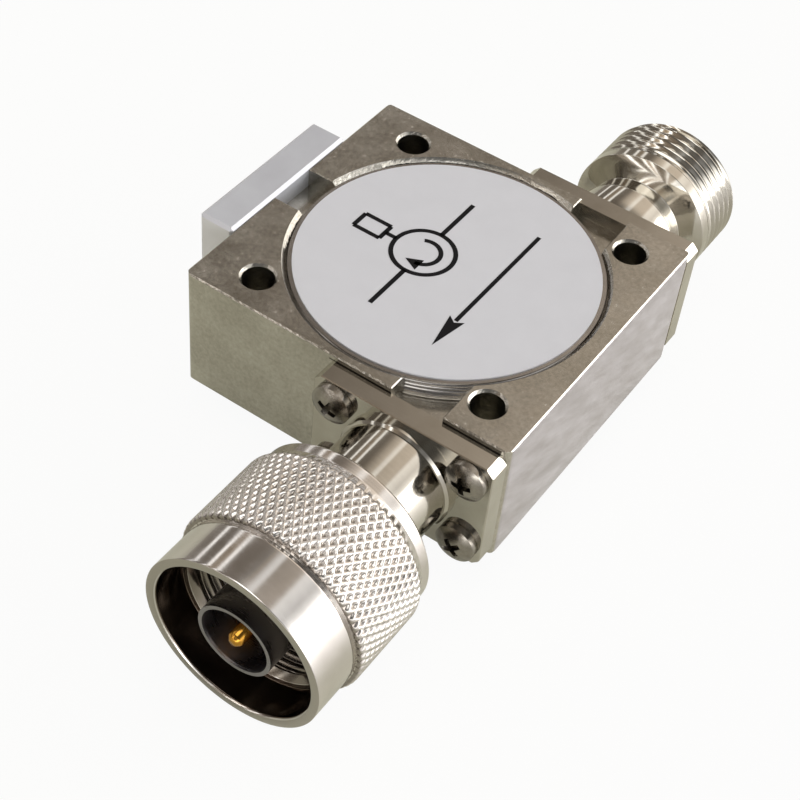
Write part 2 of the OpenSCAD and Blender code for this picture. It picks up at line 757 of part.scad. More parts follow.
// Knurled coupling nut that turns freely on the neck
module coupling_nut() {
  core_r = knurl_d / 2 - 2 * knurl_depth;
  groove_r = nose_d / 2 - groove_depth;
  color(bright_nickel) at_port(-1) difference() {
    union() {
      translate([0, 0, knurl_s]) knurl(knurl_d, knurl_depth, knurl_len, knurl_starts, knurl_rows);
      rotate_extrude() polygon([
        [0, nut_s], [collar_d / 2 - nut_chamfer, nut_s], [collar_d / 2, nut_s + nut_chamfer],
        [collar_d / 2, slope_s], [knurl_d / 2 - knurl_depth / 2, knurl_s], [core_r, knurl_s],
        [core_r, groove_s], [groove_r, groove_s], [groove_r, nose_s], [nose_d / 2, nose_s],
        [nose_d / 2, nut_face - nut_chamfer / 2], [nose_d / 2 - nut_chamfer / 2, nut_face], [0, nut_face]
      ]);
    }
    translate([0, 0, nut_s - over]) cylinder(d = neck_d + 2 * run_gap, h = nut_face);
    translate([0, 0, ring_slot_s]) cylinder(d = ring_d + 4 * ring_play, h = thread_s - ring_slot_s);
    translate([0, 0, ring_slot_s]) cylinder(d = nut_thread_d, h = nut_face);
    translate([0, 0, nut_face - mouth_depth]) cylinder(d = mouth_d, h = mouth_depth + over);
    translate([0, 0, nut_face - mouth_depth - lead_in])
      cylinder(d1 = nut_thread_d, d2 = nut_thread_d + 2 * lead_in, h = lead_in);
    translate([0, 0, nut_face - mouth_chamfer])
      cylinder(d1 = mouth_d, d2 = mouth_d + 2 * mouth_chamfer + 2 * over, h = mouth_chamfer + over);
  }
}

// Jack's flange, neck, waist and barrel. The barrel has the thread's outer diameter.
module jack_body() {
  color(bright_nickel) at_port(1) difference() {
    union() {
      flange();
      rotate_extrude() polygon([
        [0, 0], [neck_d / 2, 0], [neck_d / 2, waist_s], [waist_d / 2, waist_s],
        [waist_d / 2, step_s], [step_d / 2, barrel_s], [jack_thread_d / 2, barrel_s + shoulder_len],
        [jack_thread_d / 2, jack_len - barrel_chamfer], [jack_thread_d / 2 - barrel_chamfer, jack_len],
        [0, jack_len]
      ]);
    }
    flange_holes();
    translate([0, 0, -over]) cylinder(d = coax_d, h = jack_len);
    translate([0, 0, jack_bead_s]) cylinder(d = socket_d, h = jack_len);
    translate([0, 0, jack_len - barrel_chamfer])
      cylinder(d1 = socket_d, d2 = socket_d + 2 * barrel_chamfer + 2 * over, h = barrel_chamfer + over);
  }
}

// Jack's insulator: a thin part in the coaxial bore and a wide bead in the socket
module jack_insulator() {
  color(ptfe) at_port(1) difference() {
    union() {
      translate([0, 0, -insulator_len])
        cylinder(d = coax_d - 2 * fit_gap, h = jack_bead_s + insulator_len + fit_gap);
      translate([0, 0, jack_bead_s + fit_gap]) cylinder(d = socket_d - 2 * fit_gap, h = bead_len - fit_gap);
    }
    translate([0, 0, -insulator_len - over])
      cylinder(d = lead_d + 2 * fit_gap, h = jack_bead_s + bead_len + insulator_len + 2 * over);
    translate([0, 0, jack_bead_s + over])
      cylinder(d = contact_d + 2 * fit_gap, h = bead_len + over);
  }
}

// Jack's socket contact, slit four ways at its open end
module jack_contact() {
  shoulder = jack_bead_s + over;
  color(gold) at_port(1) difference() {
    union() {
      contact_lead(1, shoulder + over);
      translate([0, 0, shoulder]) cylinder(d = contact_d, h = contact_end - shoulder);
    }
    translate([0, 0, contact_end - contact_bore_len])
      cylinder(d = contact_bore_d, h = contact_bore_len + over);
    for (a = [0, 90]) rotate([0, 0, a]) translate([-contact_d, -slit_w / 2, contact_end - slit_len])
      cube([2 * contact_d, slit_w, slit_len + over]);
  }
}

housing();
lid();
label();
compensator_disc();
upper_magnet();
upper_pole_plate();
upper_ferrite();
centre_conductor();
lower_ferrite();
lower_pole_plate();
lower_magnet();
ground_ring();
port_capacitors();
load_block();
load_chip();
load_tab();
load_screws();
plug_body();
plug_insulator();
plug_pin();
plug_sleeve();
plug_gasket();
plug_screws();
retaining_ring();
coupling_nut();
jack_body();
jack_insulator();
jack_contact();
jack_screws();
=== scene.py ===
# %% [markdown]
# # Dressing a coaxial isolator
# A coaxial isolator lets radio power through one way and soaks up what comes back. On a bench
# it is a small plated steel block with a plug on its front, a threaded jack on its back and an
# anodised block on its left side. Its solids, sizes and joints are already packed, and this
# lesson gives them the look of real metal. Pieces whose solid already has the right shape keep
# it and get a finish. The block, the nut, the jack, the pin and the flange screws are made again
# with a finer surface.

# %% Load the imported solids
import math

import bmesh
import bpy
from mathutils import Matrix, Quaternion, Vector


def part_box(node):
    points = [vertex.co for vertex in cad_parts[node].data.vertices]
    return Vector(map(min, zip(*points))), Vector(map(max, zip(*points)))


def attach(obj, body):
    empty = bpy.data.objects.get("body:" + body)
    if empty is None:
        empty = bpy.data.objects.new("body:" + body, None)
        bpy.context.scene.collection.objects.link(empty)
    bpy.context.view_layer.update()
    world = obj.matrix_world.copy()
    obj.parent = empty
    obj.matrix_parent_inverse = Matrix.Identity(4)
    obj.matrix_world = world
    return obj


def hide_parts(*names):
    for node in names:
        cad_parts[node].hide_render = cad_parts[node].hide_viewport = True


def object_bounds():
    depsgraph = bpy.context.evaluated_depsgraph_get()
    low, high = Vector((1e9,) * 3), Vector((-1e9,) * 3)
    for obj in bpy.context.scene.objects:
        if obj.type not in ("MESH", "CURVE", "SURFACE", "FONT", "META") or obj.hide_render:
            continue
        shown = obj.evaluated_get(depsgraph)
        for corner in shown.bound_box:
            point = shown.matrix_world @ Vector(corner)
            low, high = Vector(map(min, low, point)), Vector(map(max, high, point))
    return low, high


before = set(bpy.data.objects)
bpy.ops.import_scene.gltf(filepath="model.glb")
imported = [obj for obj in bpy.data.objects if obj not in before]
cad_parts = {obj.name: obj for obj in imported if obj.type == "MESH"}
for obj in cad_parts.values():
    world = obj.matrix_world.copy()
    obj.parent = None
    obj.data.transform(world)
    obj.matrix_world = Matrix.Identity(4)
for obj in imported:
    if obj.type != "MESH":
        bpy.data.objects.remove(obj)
cad_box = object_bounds()
scene = bpy.context.scene
MM = 0.001

# %% [markdown]
# ## Where the connectors are
# Both connectors lie on one line, parallel to Y. Along it, places are given as a reach: how far
# they lie outside the block's face, in millimetres. The line and the faces are read from the
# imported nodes, so that nothing here can drift away from the solids.

# %% The connectors' axis
nut_low, nut_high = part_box("coupling_nut")
block_low, block_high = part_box("housing")
AXIS_X = (nut_low.x + nut_high.x) / 2 / MM
AXIS_Z = (nut_low.z + nut_high.z) / 2 / MM
FACE_Y = block_high.y / MM
LABEL_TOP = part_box("label")[1].z / MM
NUT_BACK = -nut_high.y / MM - FACE_Y
NUT_FACE = -nut_low.y / MM - FACE_Y
JACK_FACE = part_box("jack_body")[1].y / MM - FACE_Y
KNURL_FROM, KNURL_TO = NUT_BACK + 2.4, NUT_BACK + 11.6
FLANGE_HALF, FLANGE_TOP, FLANGE_T = 10.1, 14.3, 2.3
PLUG, JACK = -1, 1
print("axis at x", round(AXIS_X, 3), "and z", round(AXIS_Z, 3))
print("nut from", round(NUT_BACK, 2), "to", round(NUT_FACE, 2), "mm outside the block")

# %% [markdown]
# ## The camera
# The photograph was taken from the front right and above, through a lens a little longer than
# a portrait lens, and the camera was turned a few degrees about its own line of sight. The
# place, the target and that turn were solved from the block's corners and the connectors' rims.

# %% Camera
CAMERA_AT = Vector((60.67, -111.12, 131.28)) * MM
CAMERA_TARGET = Vector((3.29, -12.15, 7.40)) * MM
CAMERA_TURN = math.radians(6.47)
camera_data = bpy.data.cameras.new("camera")
camera_data.lens = 76.9
camera_data.sensor_width = 36
camera_data.clip_start = 0.01
camera = bpy.data.objects.new("camera", camera_data)
scene.collection.objects.link(camera)
camera.location = CAMERA_AT
camera.rotation_mode = "QUATERNION"
aim = (CAMERA_TARGET - CAMERA_AT).to_track_quat("-Z", "Y")
camera.rotation_quaternion = aim @ Quaternion((0, 0, 1), CAMERA_TURN)
scene.camera = camera
print("camera:", round((CAMERA_AT - CAMERA_TARGET).length / MM), "mm from its target")

# %% [markdown]
# ## Colours and nodes
# Colours are written as sRGB hex values, as a paint program shows them, and one function turns
# them to the linear values that a renderer works with. A second function adds a node, fills or
# links its inputs and gives it back, so that each material below reads as a list of steps. Where
# an input is given a node, it is linked to the first output that this node has in use.

# %% Small helpers
def linear(colour):
    """A hex colour as linear red, green, blue and an alpha of 1."""
    channels = [int(colour[i:i + 2], 16) / 255 for i in (0, 2, 4)]
    return [c / 12.92 if c <= 0.04045 else ((c + 0.055) / 1.055) ** 2.4 for c in channels] + [1.0]


def feed(tree, node, inputs):
    """Fills a node's inputs. A socket or another node is linked, and any other value is set."""
    for name, value in inputs.items():
        if isinstance(value, bpy.types.Node):
            value = next(output for output in value.outputs if output.enabled)
        if isinstance(value, bpy.types.NodeSocket):
            tree.links.new(value, node.inputs[name])
        else:
            node.inputs[name].default_value = value


def add(tree, kind, inputs=None, **settings):
    """Adds a node with its settings, fills its inputs and gives it back."""
    node = tree.nodes.new(kind)
    for name, value in settings.items():
        setattr(node, name, value)
    feed(tree, node, inputs or {})
    return node


print("the middle grey 808080 is", round(linear("808080")[0], 3), "in linear light")

# %% [markdown]
# ## The studio
# Plated metal has no look of its own: it shows the room. A turned part that lies along Y mirrors
# a whole slice of it, so its bright and dark bars tell where the lights were. The room below is
# read back from those bars. It is a long room with everything parallel to the connectors' line:
# a tall window from the right-hand horizon upwards, a pale wall over it, a tube in the middle of a
# dark warm ceiling, and three thin tubes low on the left. Each stop gives an angle round Y in
# degrees, the brightness there and one of three tints. A picture of a room would do the same, but
# a list of stops is easy to read and to change.

# %% The room's bars of light
DAYLIGHT, CEILING, SHADE = linear("fffefd"), linear("ffefdc"), linear("ffdeb8")
ROOM_PEAK = 1.9
ROOM = [
    (0, 1.4, DAYLIGHT), (5, 1.9, DAYLIGHT), (32, 1.9, DAYLIGHT), (37, 1.1, DAYLIGHT),
    (45, 0.68, DAYLIGHT), (52, 0.9, DAYLIGHT), (60, 1.05, DAYLIGHT), (64, 0.43, CEILING),
    (86, 0.34, CEILING), (89, 0.98, DAYLIGHT), (93, 0.88, DAYLIGHT), (98, 0.4, CEILING),
    (104, 0.17, CEILING), (112, 0.11, SHADE), (130, 0.12, SHADE), (131, 1.6, DAYLIGHT),
    (134, 1.6, DAYLIGHT), (135.5, 0.3, SHADE), (143.5, 0.22, SHADE), (144.5, 1.8, DAYLIGHT),
    (147, 1.8, DAYLIGHT), (148.5, 0.1, SHADE), (162, 0.1, SHADE), (163, 1.7, DAYLIGHT),
    (165.5, 1.7, DAYLIGHT), (167, 0.12, SHADE), (178, 0.2, CEILING), (190, 0.5, CEILING),
    (350, 0.75, DAYLIGHT),
]
world = bpy.data.worlds.new("studio_room")
scene.world = world
world.use_nodes = True
tree = world.node_tree
tree.nodes.clear()
direction = add(tree, "ShaderNodeTexCoord").outputs["Generated"]
parts = add(tree, "ShaderNodeSeparateXYZ", {"Vector": direction}).outputs
angle = add(tree, "ShaderNodeMath", {0: parts["Z"], 1: parts["X"]}, operation="ARCTAN2")
turns = add(tree, "ShaderNodeMath", {0: angle, 1: 2 * math.pi}, operation="DIVIDE")
around = add(tree, "ShaderNodeMath", {0: turns}, operation="FRACT")
ramp = add(tree, "ShaderNodeValToRGB", {"Fac": around})
stops = ramp.color_ramp.elements
stops.remove(stops[1])
for i, (degrees, brightness, tint) in enumerate(ROOM):
    stop = stops[0] if i == 0 else stops.new(degrees / 360)
    stop.position = degrees / 360
    stop.color = [brightness / ROOM_PEAK * c for c in tint[:3]] + [1.0]
print("room:", len(stops), "stops")

# %% [markdown]
# The bars alone would be the same all along the room. The side behind the camera was dark, and the
# wall at the front end was bright, which draws the thin line along the block's front edge. The
# flat top of the block looks far down the room, to where its ceiling is paler on the right, while
# the round parts look at the ceiling nearer by. So the height of the direction along Y tells
# these apart, and a second, faint light is laid over the far ceiling only.

# %% How the room changes along its length
towards_camera = (CAMERA_AT - CAMERA_TARGET).normalized()
facing = add(tree, "ShaderNodeVectorMath", {0: direction, 1: towards_camera}, operation="DOT_PRODUCT")
shade = add(tree, "ShaderNodeMapRange", {
    "Value": facing.outputs["Value"], "From Min": 0.7, "From Max": 0.94, "To Min": ROOM_PEAK,
    "To Max": 0.15}, interpolation_type="SMOOTHSTEP")
front_wall = add(tree, "ShaderNodeMapRange", {
    "Value": parts["Y"], "From Min": -0.64, "From Max": -0.74, "To Min": 1.0, "To Max": 2.4},
    interpolation_type="SMOOTHSTEP")
strength = add(tree, "ShaderNodeMath", {0: shade, 1: front_wall}, operation="MULTIPLY")
bars_of_light = add(tree, "ShaderNodeBackground", {"Color": ramp, "Strength": strength})
far = add(tree, "ShaderNodeMapRange", {"Value": parts["Y"], "From Min": 0.5, "From Max": 0.6},
          interpolation_type="SMOOTHSTEP")
paler_right = add(tree, "ShaderNodeMapRange", {
    "Value": around, "From Min": 103 / 360, "From Max": 121 / 360, "To Min": 0.63, "To Max": 0.05},
    interpolation_type="SMOOTHSTEP")
far_and_paler = add(tree, "ShaderNodeMath", {0: far, 1: paler_right}, operation="MULTIPLY")
above = add(tree, "ShaderNodeMath", {0: parts["Z"], 1: 0.0}, operation="GREATER_THAN")
far_ceiling = add(tree, "ShaderNodeMath", {0: far_and_paler, 1: above}, operation="MULTIPLY")
glow = add(tree, "ShaderNodeBackground", {"Color": CEILING, "Strength": far_ceiling})
room_light = add(tree, "ShaderNodeAddShader", {0: bars_of_light, 1: glow})
print("room:", len(tree.nodes), "nodes")

# %% [markdown]
# A catalogue picture has a pure white background. The camera sees it through a light path: a ray
# from the camera meets white, and a ray that bounced off the object meets the room. Mirrors and
# glass get a small share of the white too. A full share would wash out the dark bars that give
# plated metal its depth, so it is a tenth.

# %% The white that the camera sees
IN_MIRRORS = 0.1


def white_share(tree, to_camera):
    """How much of the white a ray sees: a given share for the camera, and a tenth for mirrors and glass."""
    path = add(tree, "ShaderNodeLightPath").outputs
    bounced = add(tree, "ShaderNodeMath", {0: path["Is Glossy Ray"], 1: path["Is Transmission Ray"]},
                  operation="MAXIMUM")
    direct = add(tree, "ShaderNodeMath", {0: path["Is Camera Ray"], 1: to_camera}, operation="MULTIPLY")
    return add(tree, "ShaderNodeMath", {0: bounced, 1: IN_MIRRORS, 2: direct}, operation="MULTIPLY_ADD")


white_sweep = add(tree, "ShaderNodeBackground", {"Color": (1, 1, 1, 1), "Strength": 1.0})
surface = add(tree, "ShaderNodeMixShader", {0: white_share(tree, 1.0), 1: room_light, 2: white_sweep})
add(tree, "ShaderNodeOutputWorld", {"Surface": surface})
print("world nodes:", len(tree.nodes))

# %% [markdown]
# Two soft lamps add to the room. One stands in the window, low on the right, and gives the shadow
# its side. The other is a wide soft box straight above. It lights the dull surfaces, and many of
# the knurl's small faces mirror it, while the plain faces look past it. Area lamps are used
# because their size sets how soft the shadow and the highlights are.

# %% Lamps
AIMED_AT = Vector((0, -5, 7))


def lamp(name, place, size_x, size_y, watts, colour):
    """An area lamp at a place in millimetres, turned towards the middle of the object."""
    data = bpy.data.lights.new(name, "AREA")
    data.shape = "RECTANGLE"
    data.size = size_x * MM
    data.size_y = size_y * MM
    data.energy = watts
    data.color = linear(colour)[:3]
    body = bpy.data.objects.new(name, data)
    scene.collection.objects.link(body)
    body.location = Vector(place) * MM
    body.rotation_mode = "QUATERNION"
    body.rotation_quaternion = (AIMED_AT * MM - body.location).to_track_quat("-Z", "Y")
    return body


lamp("window", (300, 140, 55), 300, 240, 0.65, "fffdfc")
lamp("overhead", (-20, -60, 420), 300, 300, 0.62, "fffefc")
print("lamps:", [light.name for light in bpy.data.lights])

# %% [markdown]
# The floor is white card with a slight sheen. To the camera it is nearly pure white and only
# hints at the shadow, as in a catalogue picture. The metal mirrors the card's colour, which is
# painted light: olive grey on the left, for light that is yellow with the room's walls, and clean
# white towards the window. Far out, where the mirrored line of sight only grazes the card, the
# sheen turns it white as well. Mirrors see the same small share of plain white in it as in the room.

# %% Floor
FLOOR_Z = cad_box[0].z
FLOOR_REACH = 1.2
CARD_LEFT, CARD_RIGHT = "cfd0bc", "c6c4c1"
floor_mesh = bpy.data.meshes.new("floor")
corners = [(x * FLOOR_REACH, y * FLOOR_REACH, FLOOR_Z) for x, y in ((-1, -1), (1, -1), (1, 1), (-1, 1))]
floor_mesh.from_pydata(corners, [], [(0, 1, 2, 3)])
floor = bpy.data.objects.new("floor", floor_mesh)
scene.collection.objects.link(floor)
white_card = bpy.data.materials.new("white_card")
white_card.use_nodes = True
tree = white_card.node_tree
tree.nodes.clear()
place = add(tree, "ShaderNodeTexCoord").outputs["Object"]
across = add(tree, "ShaderNodeSeparateXYZ", {"Vector": place}).outputs["X"]
# Painted light: the card's colour goes from CARD_LEFT, olive grey, to CARD_RIGHT towards the window.
painted_light_towards_window = add(tree, "ShaderNodeMapRange", {"Value": across, "From Min": 10 * MM, "From Max": 60 * MM})
tint = add(tree, "ShaderNodeMix", {"Factor": painted_light_towards_window, "A": linear(CARD_LEFT), "B": linear(CARD_RIGHT)},
           data_type="RGBA")
card = add(tree, "ShaderNodeBsdfPrincipled", {"Base Color": tint, "Roughness": 0.3})
lift = add(tree, "ShaderNodeEmission", {"Color": (1, 1, 1, 1), "Strength": 1.0})
mixed = add(tree, "ShaderNodeMixShader", {0: white_share(tree, 0.94), 1: card, 2: lift})
add(tree, "ShaderNodeOutputMaterial", {"Surface": mixed})
floor_mesh.materials.append(white_card)
scene.view_settings.view_transform = "Standard"
print("floor at z", round(FLOOR_Z / MM, 2), "mm")

# %% [markdown]
# ## What all finishes share
# Every finish here starts from the same shader and differs in its colour, its gloss and its
# tool marks. Marks are read from Object coordinates in millimetres, so that they keep their real
# size: a noise whose features are half a millimetre wide has a scale of 1 / 0.5. Bump heights are
# a few thousandths of a millimetre, as on the real surfaces.

# %% The start of a finish
MICRON = MM / 1000


def finish(name, colour, metallic, roughness):
    """A material with one shader. Gives the material, its tree, the shader and the place in mm."""
    material = bpy.data.materials.new(name)
    material.use_nodes = True
    tree = material.node_tree
    shader = tree.nodes["Principled BSDF"]
    feed(tree, shader, {"Base Color": linear(colour), "Metallic": metallic, "Roughness": roughness})
    place = add(tree, "ShaderNodeTexCoord").outputs["Object"]
    in_mm = add(tree, "ShaderNodeVectorMath", {0: place, "Scale": 1 / MM}, operation="SCALE")
    return material, tree, shader, in_mm


def two_tones(tree, place, cloud_mm, colours, low=0.3, high=0.7, detail=4):
    """Soft clouds of two close colours. Gives the colour, and the clouds as values from 0 to 1."""
    clouds = add(tree, "ShaderNodeTexNoise", {
        "Vector": place, "Scale": 1 / cloud_mm, "Detail": detail, "Roughness": 0.55})
    tone = add(tree, "ShaderNodeMapRange", {"Value": clouds, "From Min": low, "From Max": high})
    colour = add(tree, "ShaderNodeMix", {"Factor": tone, "A": linear(colours[0]), "B": linear(colours[1])},
                 data_type="RGBA")
    return colour, tone


print("a bump of one micron is", MICRON, "m high")

# %% [markdown]
# ## Bright nickel on milled steel
# The block is milled from steel and plated with bright nickel. The plate follows every pore of
# the steel, so the faces are finely mottled and a little hazy, with pits here and there. The long
# side away from the load was left frosted, as if blasted before plating, and is paler, with soft
# drag marks that slant down to the back. Edges were broken by hand with a file, so the chamfers
# are uneven and their highlights break into dashes. A facet that looks along no axis is such an
# edge, and the sum of its normal's three parts tells it from the flat faces. A thin dark line of
# painted shade is drawn where each flange's top edge meets the block's face.

# %% Where the block differs from its faces
def slanting_facets(tree):
    """1 on chamfers and other facets that slant, and 0 on faces that look along an axis."""
    facet = add(tree, "ShaderNodeNewGeometry").outputs["True Normal"]
    size = add(tree, "ShaderNodeVectorMath", {0: facet}, operation="ABSOLUTE").outputs["Vector"]
    # The sum of the parts is 1 on a flat face and 1.41 on a facet at 45 degrees.
    total = add(tree, "ShaderNodeVectorMath", {0: size, 1: (1, 1, 1)}, operation="DOT_PRODUCT").outputs["Value"]
    return add(tree, "ShaderNodeMapRange", {"Value": total, "From Min": 1.15, "From Max": 1.35})


# Half the width of the line of painted shade in the flange joints.
JOINT_SHADE_HALF = 0.07


def flange_joint_shade(tree, spot):
    """1 on the line where a flange's top edge meets the block's face and shade is painted, and 0 elsewhere."""
    level = add(tree, "ShaderNodeMath", {0: spot["Z"], 1: FLANGE_TOP + JOINT_SHADE_HALF, 2: JOINT_SHADE_HALF},
                operation="COMPARE")
    width = add(tree, "ShaderNodeMath", {0: spot["X"], 1: AXIS_X, 2: FLANGE_HALF}, operation="COMPARE")
    from_middle = add(tree, "ShaderNodeMath", {0: spot["Y"]}, operation="ABSOLUTE")
    face = add(tree, "ShaderNodeMath", {0: from_middle, 1: FACE_Y, 2: 0.02}, operation="COMPARE")
    edge = add(tree, "ShaderNodeMath", {0: level, 1: width}, operation="MULTIPLY")
    return add(tree, "ShaderNodeMath", {0: edge, 1: face}, operation="MULTIPLY")


def drag_marks(tree, place):
    """Streaks a millimetre wide and four long, which slant down to the back, between 0 and 1."""
    slanted = add(tree, "ShaderNodeVectorRotate", {"Vector": place, "Angle": math.radians(28)},
                  rotation_type="X_AXIS")
    drawn_out = add(tree, "ShaderNodeMapping", {"Vector": slanted, "Scale": (1, 1 / 4, 1)})
    streaks = add(tree, "ShaderNodeTexNoise", {"Vector": drawn_out, "Scale": 1, "Detail": 4, "Roughness": 0.55})
    return add(tree, "ShaderNodeMapRange", {"Value": streaks, "From Min": 0.3, "From Max": 0.7})


# The line printed here is the painted shade in the flange joints.
print("the line of dirt is", 2 * JOINT_SHADE_HALF, "mm wide")

# %% [markdown]
# The finish then mixes three things: a colour, a gloss and a relief. Each of them is different on
# the frosted side, which is told by its place along X.

# %% Milled block finish
def nickel_block():
    material, tree, shader, place = finish("bright_nickel_on_milled_steel", "bfbab1", 1.0, 0.2)
    spot = add(tree, "ShaderNodeSeparateXYZ", {"Vector": place}).outputs
    side = block_high.x / MM
    frosted = add(tree, "ShaderNodeMapRange", {
        "Value": spot["X"], "From Min": side - 0.1, "From Max": side - 0.02})
    marks = drag_marks(tree, place)
    # Colour: pores half a millimetre wide over soft clouds, and a paler, streaked frosted side.
    pores = add(tree, "ShaderNodeTexNoise", {"Vector": place, "Scale": 1 / 0.5, "Detail": 4, "Roughness": 0.7})
    clouds = add(tree, "ShaderNodeTexNoise", {"Vector": place, "Scale": 1 / 7, "Detail": 4, "Roughness": 0.55})
    mottle = add(tree, "ShaderNodeMath", {0: pores, 1: clouds}, operation="ADD")
    tone = add(tree, "ShaderNodeMapRange", {"Value": mottle, "From Min": 0.75, "From Max": 1.25})
    plate = add(tree, "ShaderNodeMix", {"Factor": tone, "A": linear("aeaaa0"), "B": linear("cdc9c0")},
                data_type="RGBA")
    frost = add(tree, "ShaderNodeMix", {"Factor": marks, "A": linear("bab6b8"), "B": linear("cbc8cb")},
                data_type="RGBA")
    clean = add(tree, "ShaderNodeMix", {"Factor": frosted, "A": plate, "B": frost}, data_type="RGBA")
    # Painted shade: a dark line, 3a352e, where each flange meets the block.
    colour = add(tree, "ShaderNodeMix", {"Factor": flange_joint_shade(tree, spot), "A": clean, "B": linear("3a352e")},
                 data_type="RGBA")
    # Gloss: the plate is hazy in places, and the frosted side is nearly matt.
    haze = add(tree, "ShaderNodeTexNoise", {"Vector": place, "Scale": 1 / 2.5, "Detail": 5, "Roughness": 0.6})
    gloss = add(tree, "ShaderNodeMapRange", {
        "Value": haze, "From Min": 0.3, "From Max": 0.7, "To Min": 0.14, "To Max": 0.26})
    frost_gloss = add(tree, "ShaderNodeMapRange", {"Value": marks, "To Min": 0.5, "To Max": 0.6})
    rough = add(tree, "ShaderNodeMix", {"Factor": frosted, "A": gloss, "B": frost_gloss})
    # Relief: slow waves, then pits and the frost's grain, then the file's marks on the edges.
    waves = add(tree, "ShaderNodeTexNoise", {"Vector": place, "Scale": 1 / 4, "Detail": 3, "Roughness": 0.55})
    wavy = add(tree, "ShaderNodeBump", {"Height": waves, "Distance": 8 * MICRON})
    spots = add(tree, "ShaderNodeTexNoise", {"Vector": place, "Scale": 1 / 0.5, "Detail": 2, "Roughness": 0.55})
    pits = add(tree, "ShaderNodeMapRange", {
        "Value": spots, "From Min": 0.68, "From Max": 0.76, "To Min": 1, "To Max": 0})
    blasted = add(tree, "ShaderNodeTexNoise", {
        "Vector": place, "Scale": 1 / 0.12, "Detail": 3, "Roughness": 0.55})
    grain = add(tree, "ShaderNodeMath", {0: blasted, 1: frosted, 2: pits}, operation="MULTIPLY_ADD")
    pitted = add(tree, "ShaderNodeBump", {"Height": grain, "Distance": 10 * MICRON, "Normal": wavy})
    strokes = add(tree, "ShaderNodeTexNoise", {
        "Vector": place, "Scale": 1 / 0.6, "Detail": 3, "Roughness": 0.55})
    filed = add(tree, "ShaderNodeMath", {0: slanting_facets(tree), 1: strokes}, operation="MULTIPLY")
    relief = add(tree, "ShaderNodeBump", {"Height": filed, "Distance": 60 * MICRON, "Normal": pitted})
    feed(tree, shader, {"Base Color": colour, "Roughness": rough, "Normal": relief})
    return material


milled_nickel = nickel_block()
print("block finish:", len(milled_nickel.node_tree.nodes), "nodes")

# %% [markdown]
# ## Turned metals
# A lathe leaves fine rings round the part's axis. Noise that is stretched far round the axis and
# is very fine along it gives the same streaks, which break each highlight into short dashes. The
# rings of a real cut are about 0.05 mm apart. They are drawn two to three times as coarse here, so
# that they show in the picture.

# %% Turned finishes
RING_STRETCH = 60


def turned(name, colours, roughness, ring_mm=0.15, ring_microns=1.5, cloud_mm=4, wear=None):
    """A turned metal whose tool rings run round the connectors' axis. wear may change its look."""
    material, tree, shader, place = finish(name, colours[0], 1.0, roughness)
    colour, tone = two_tones(tree, place, cloud_mm, colours)
    round_axis = 1 / (ring_mm * RING_STRETCH)
    drawn_round = add(tree, "ShaderNodeMapping", {
        "Vector": place, "Scale": (round_axis, 1 / ring_mm, round_axis)})
    rings = add(tree, "ShaderNodeTexNoise", {"Vector": drawn_round, "Scale": 1, "Detail": 2, "Roughness": 0.6})
    half_tone = add(tree, "ShaderNodeMath", {0: tone, 1: 0.5}, operation="MULTIPLY")
    rubbed = add(tree, "ShaderNodeMath", {0: rings, 1: 0.5, 2: half_tone}, operation="MULTIPLY_ADD")
    gloss = add(tree, "ShaderNodeMapRange", {
        "Value": rubbed, "From Min": 0.3, "From Max": 0.7,
        "To Min": roughness * 0.75, "To Max": roughness * 1.3})
    if wear:
        colour, gloss = wear(tree, place, colour, gloss)
    relief = add(tree, "ShaderNodeBump", {"Height": rings, "Distance": ring_microns * MICRON})
    feed(tree, shader, {"Base Color": colour, "Roughness": gloss, "Normal": relief})
    return material


# Bright nickel is nearly a mirror, a little warmer than steel.
bright_nickel = turned("bright_nickel_on_turned_brass", ("b8b3a9", "c6c2b9"), 0.09)
# The contact sleeve is rubbed by each plugging, which leaves it dull, and its grey is painted darker as painted
# shade deep in the nut.
shaded_sleeve_nickel = turned("dull_nickel_painted_shade_on_contact_sleeve", ("8a8789", "99969a"), 0.3)
# Hard gold over bronze is deep yellow, and polished by the socket's fingers.
gold = turned("gold_on_contact_bronze", ("b98632", "c7933e"), 0.12, ring_mm=0.1, ring_microns=1, cloud_mm=1)
# Bare brass goes dull and slightly brown where it is closed in.
bare_brass = turned("bare_turned_brass", ("c2a05a", "cfae68"), 0.3)
print("turned finishes:", [m.name for m in (bright_nickel, shaded_sleeve_nickel, gold, bare_brass)])

# %% [markdown]
# The nut has the same plating, more satin, and the marks of use. A rolled knurl isn't polished
# like the plain bands beside it, and its pits are painted darker, partly for dirt and partly as
# painted shade. The ring at the front is painted darker as painted shade. The mouth's wall and
# the thread behind it are painted dark as painted shade inside the nut. All of this depends only
# on the place along the axis and the distance from it, so a few comparisons paint it.

# %% Wear and painted shade on the nut
MOUTH_R, MOUTH_DEPTH = 8.5, 3.85
SHADE_INSIDE_FROM, SHADE_INSIDE_TO = MOUTH_R - 0.53, MOUTH_R + 0.07
KNURL_R, KNURL_DEPTH, KNURL_DULLNESS = 10.15, 0.26, 0.1
SOLID_UNDER_KNURL = 9.6


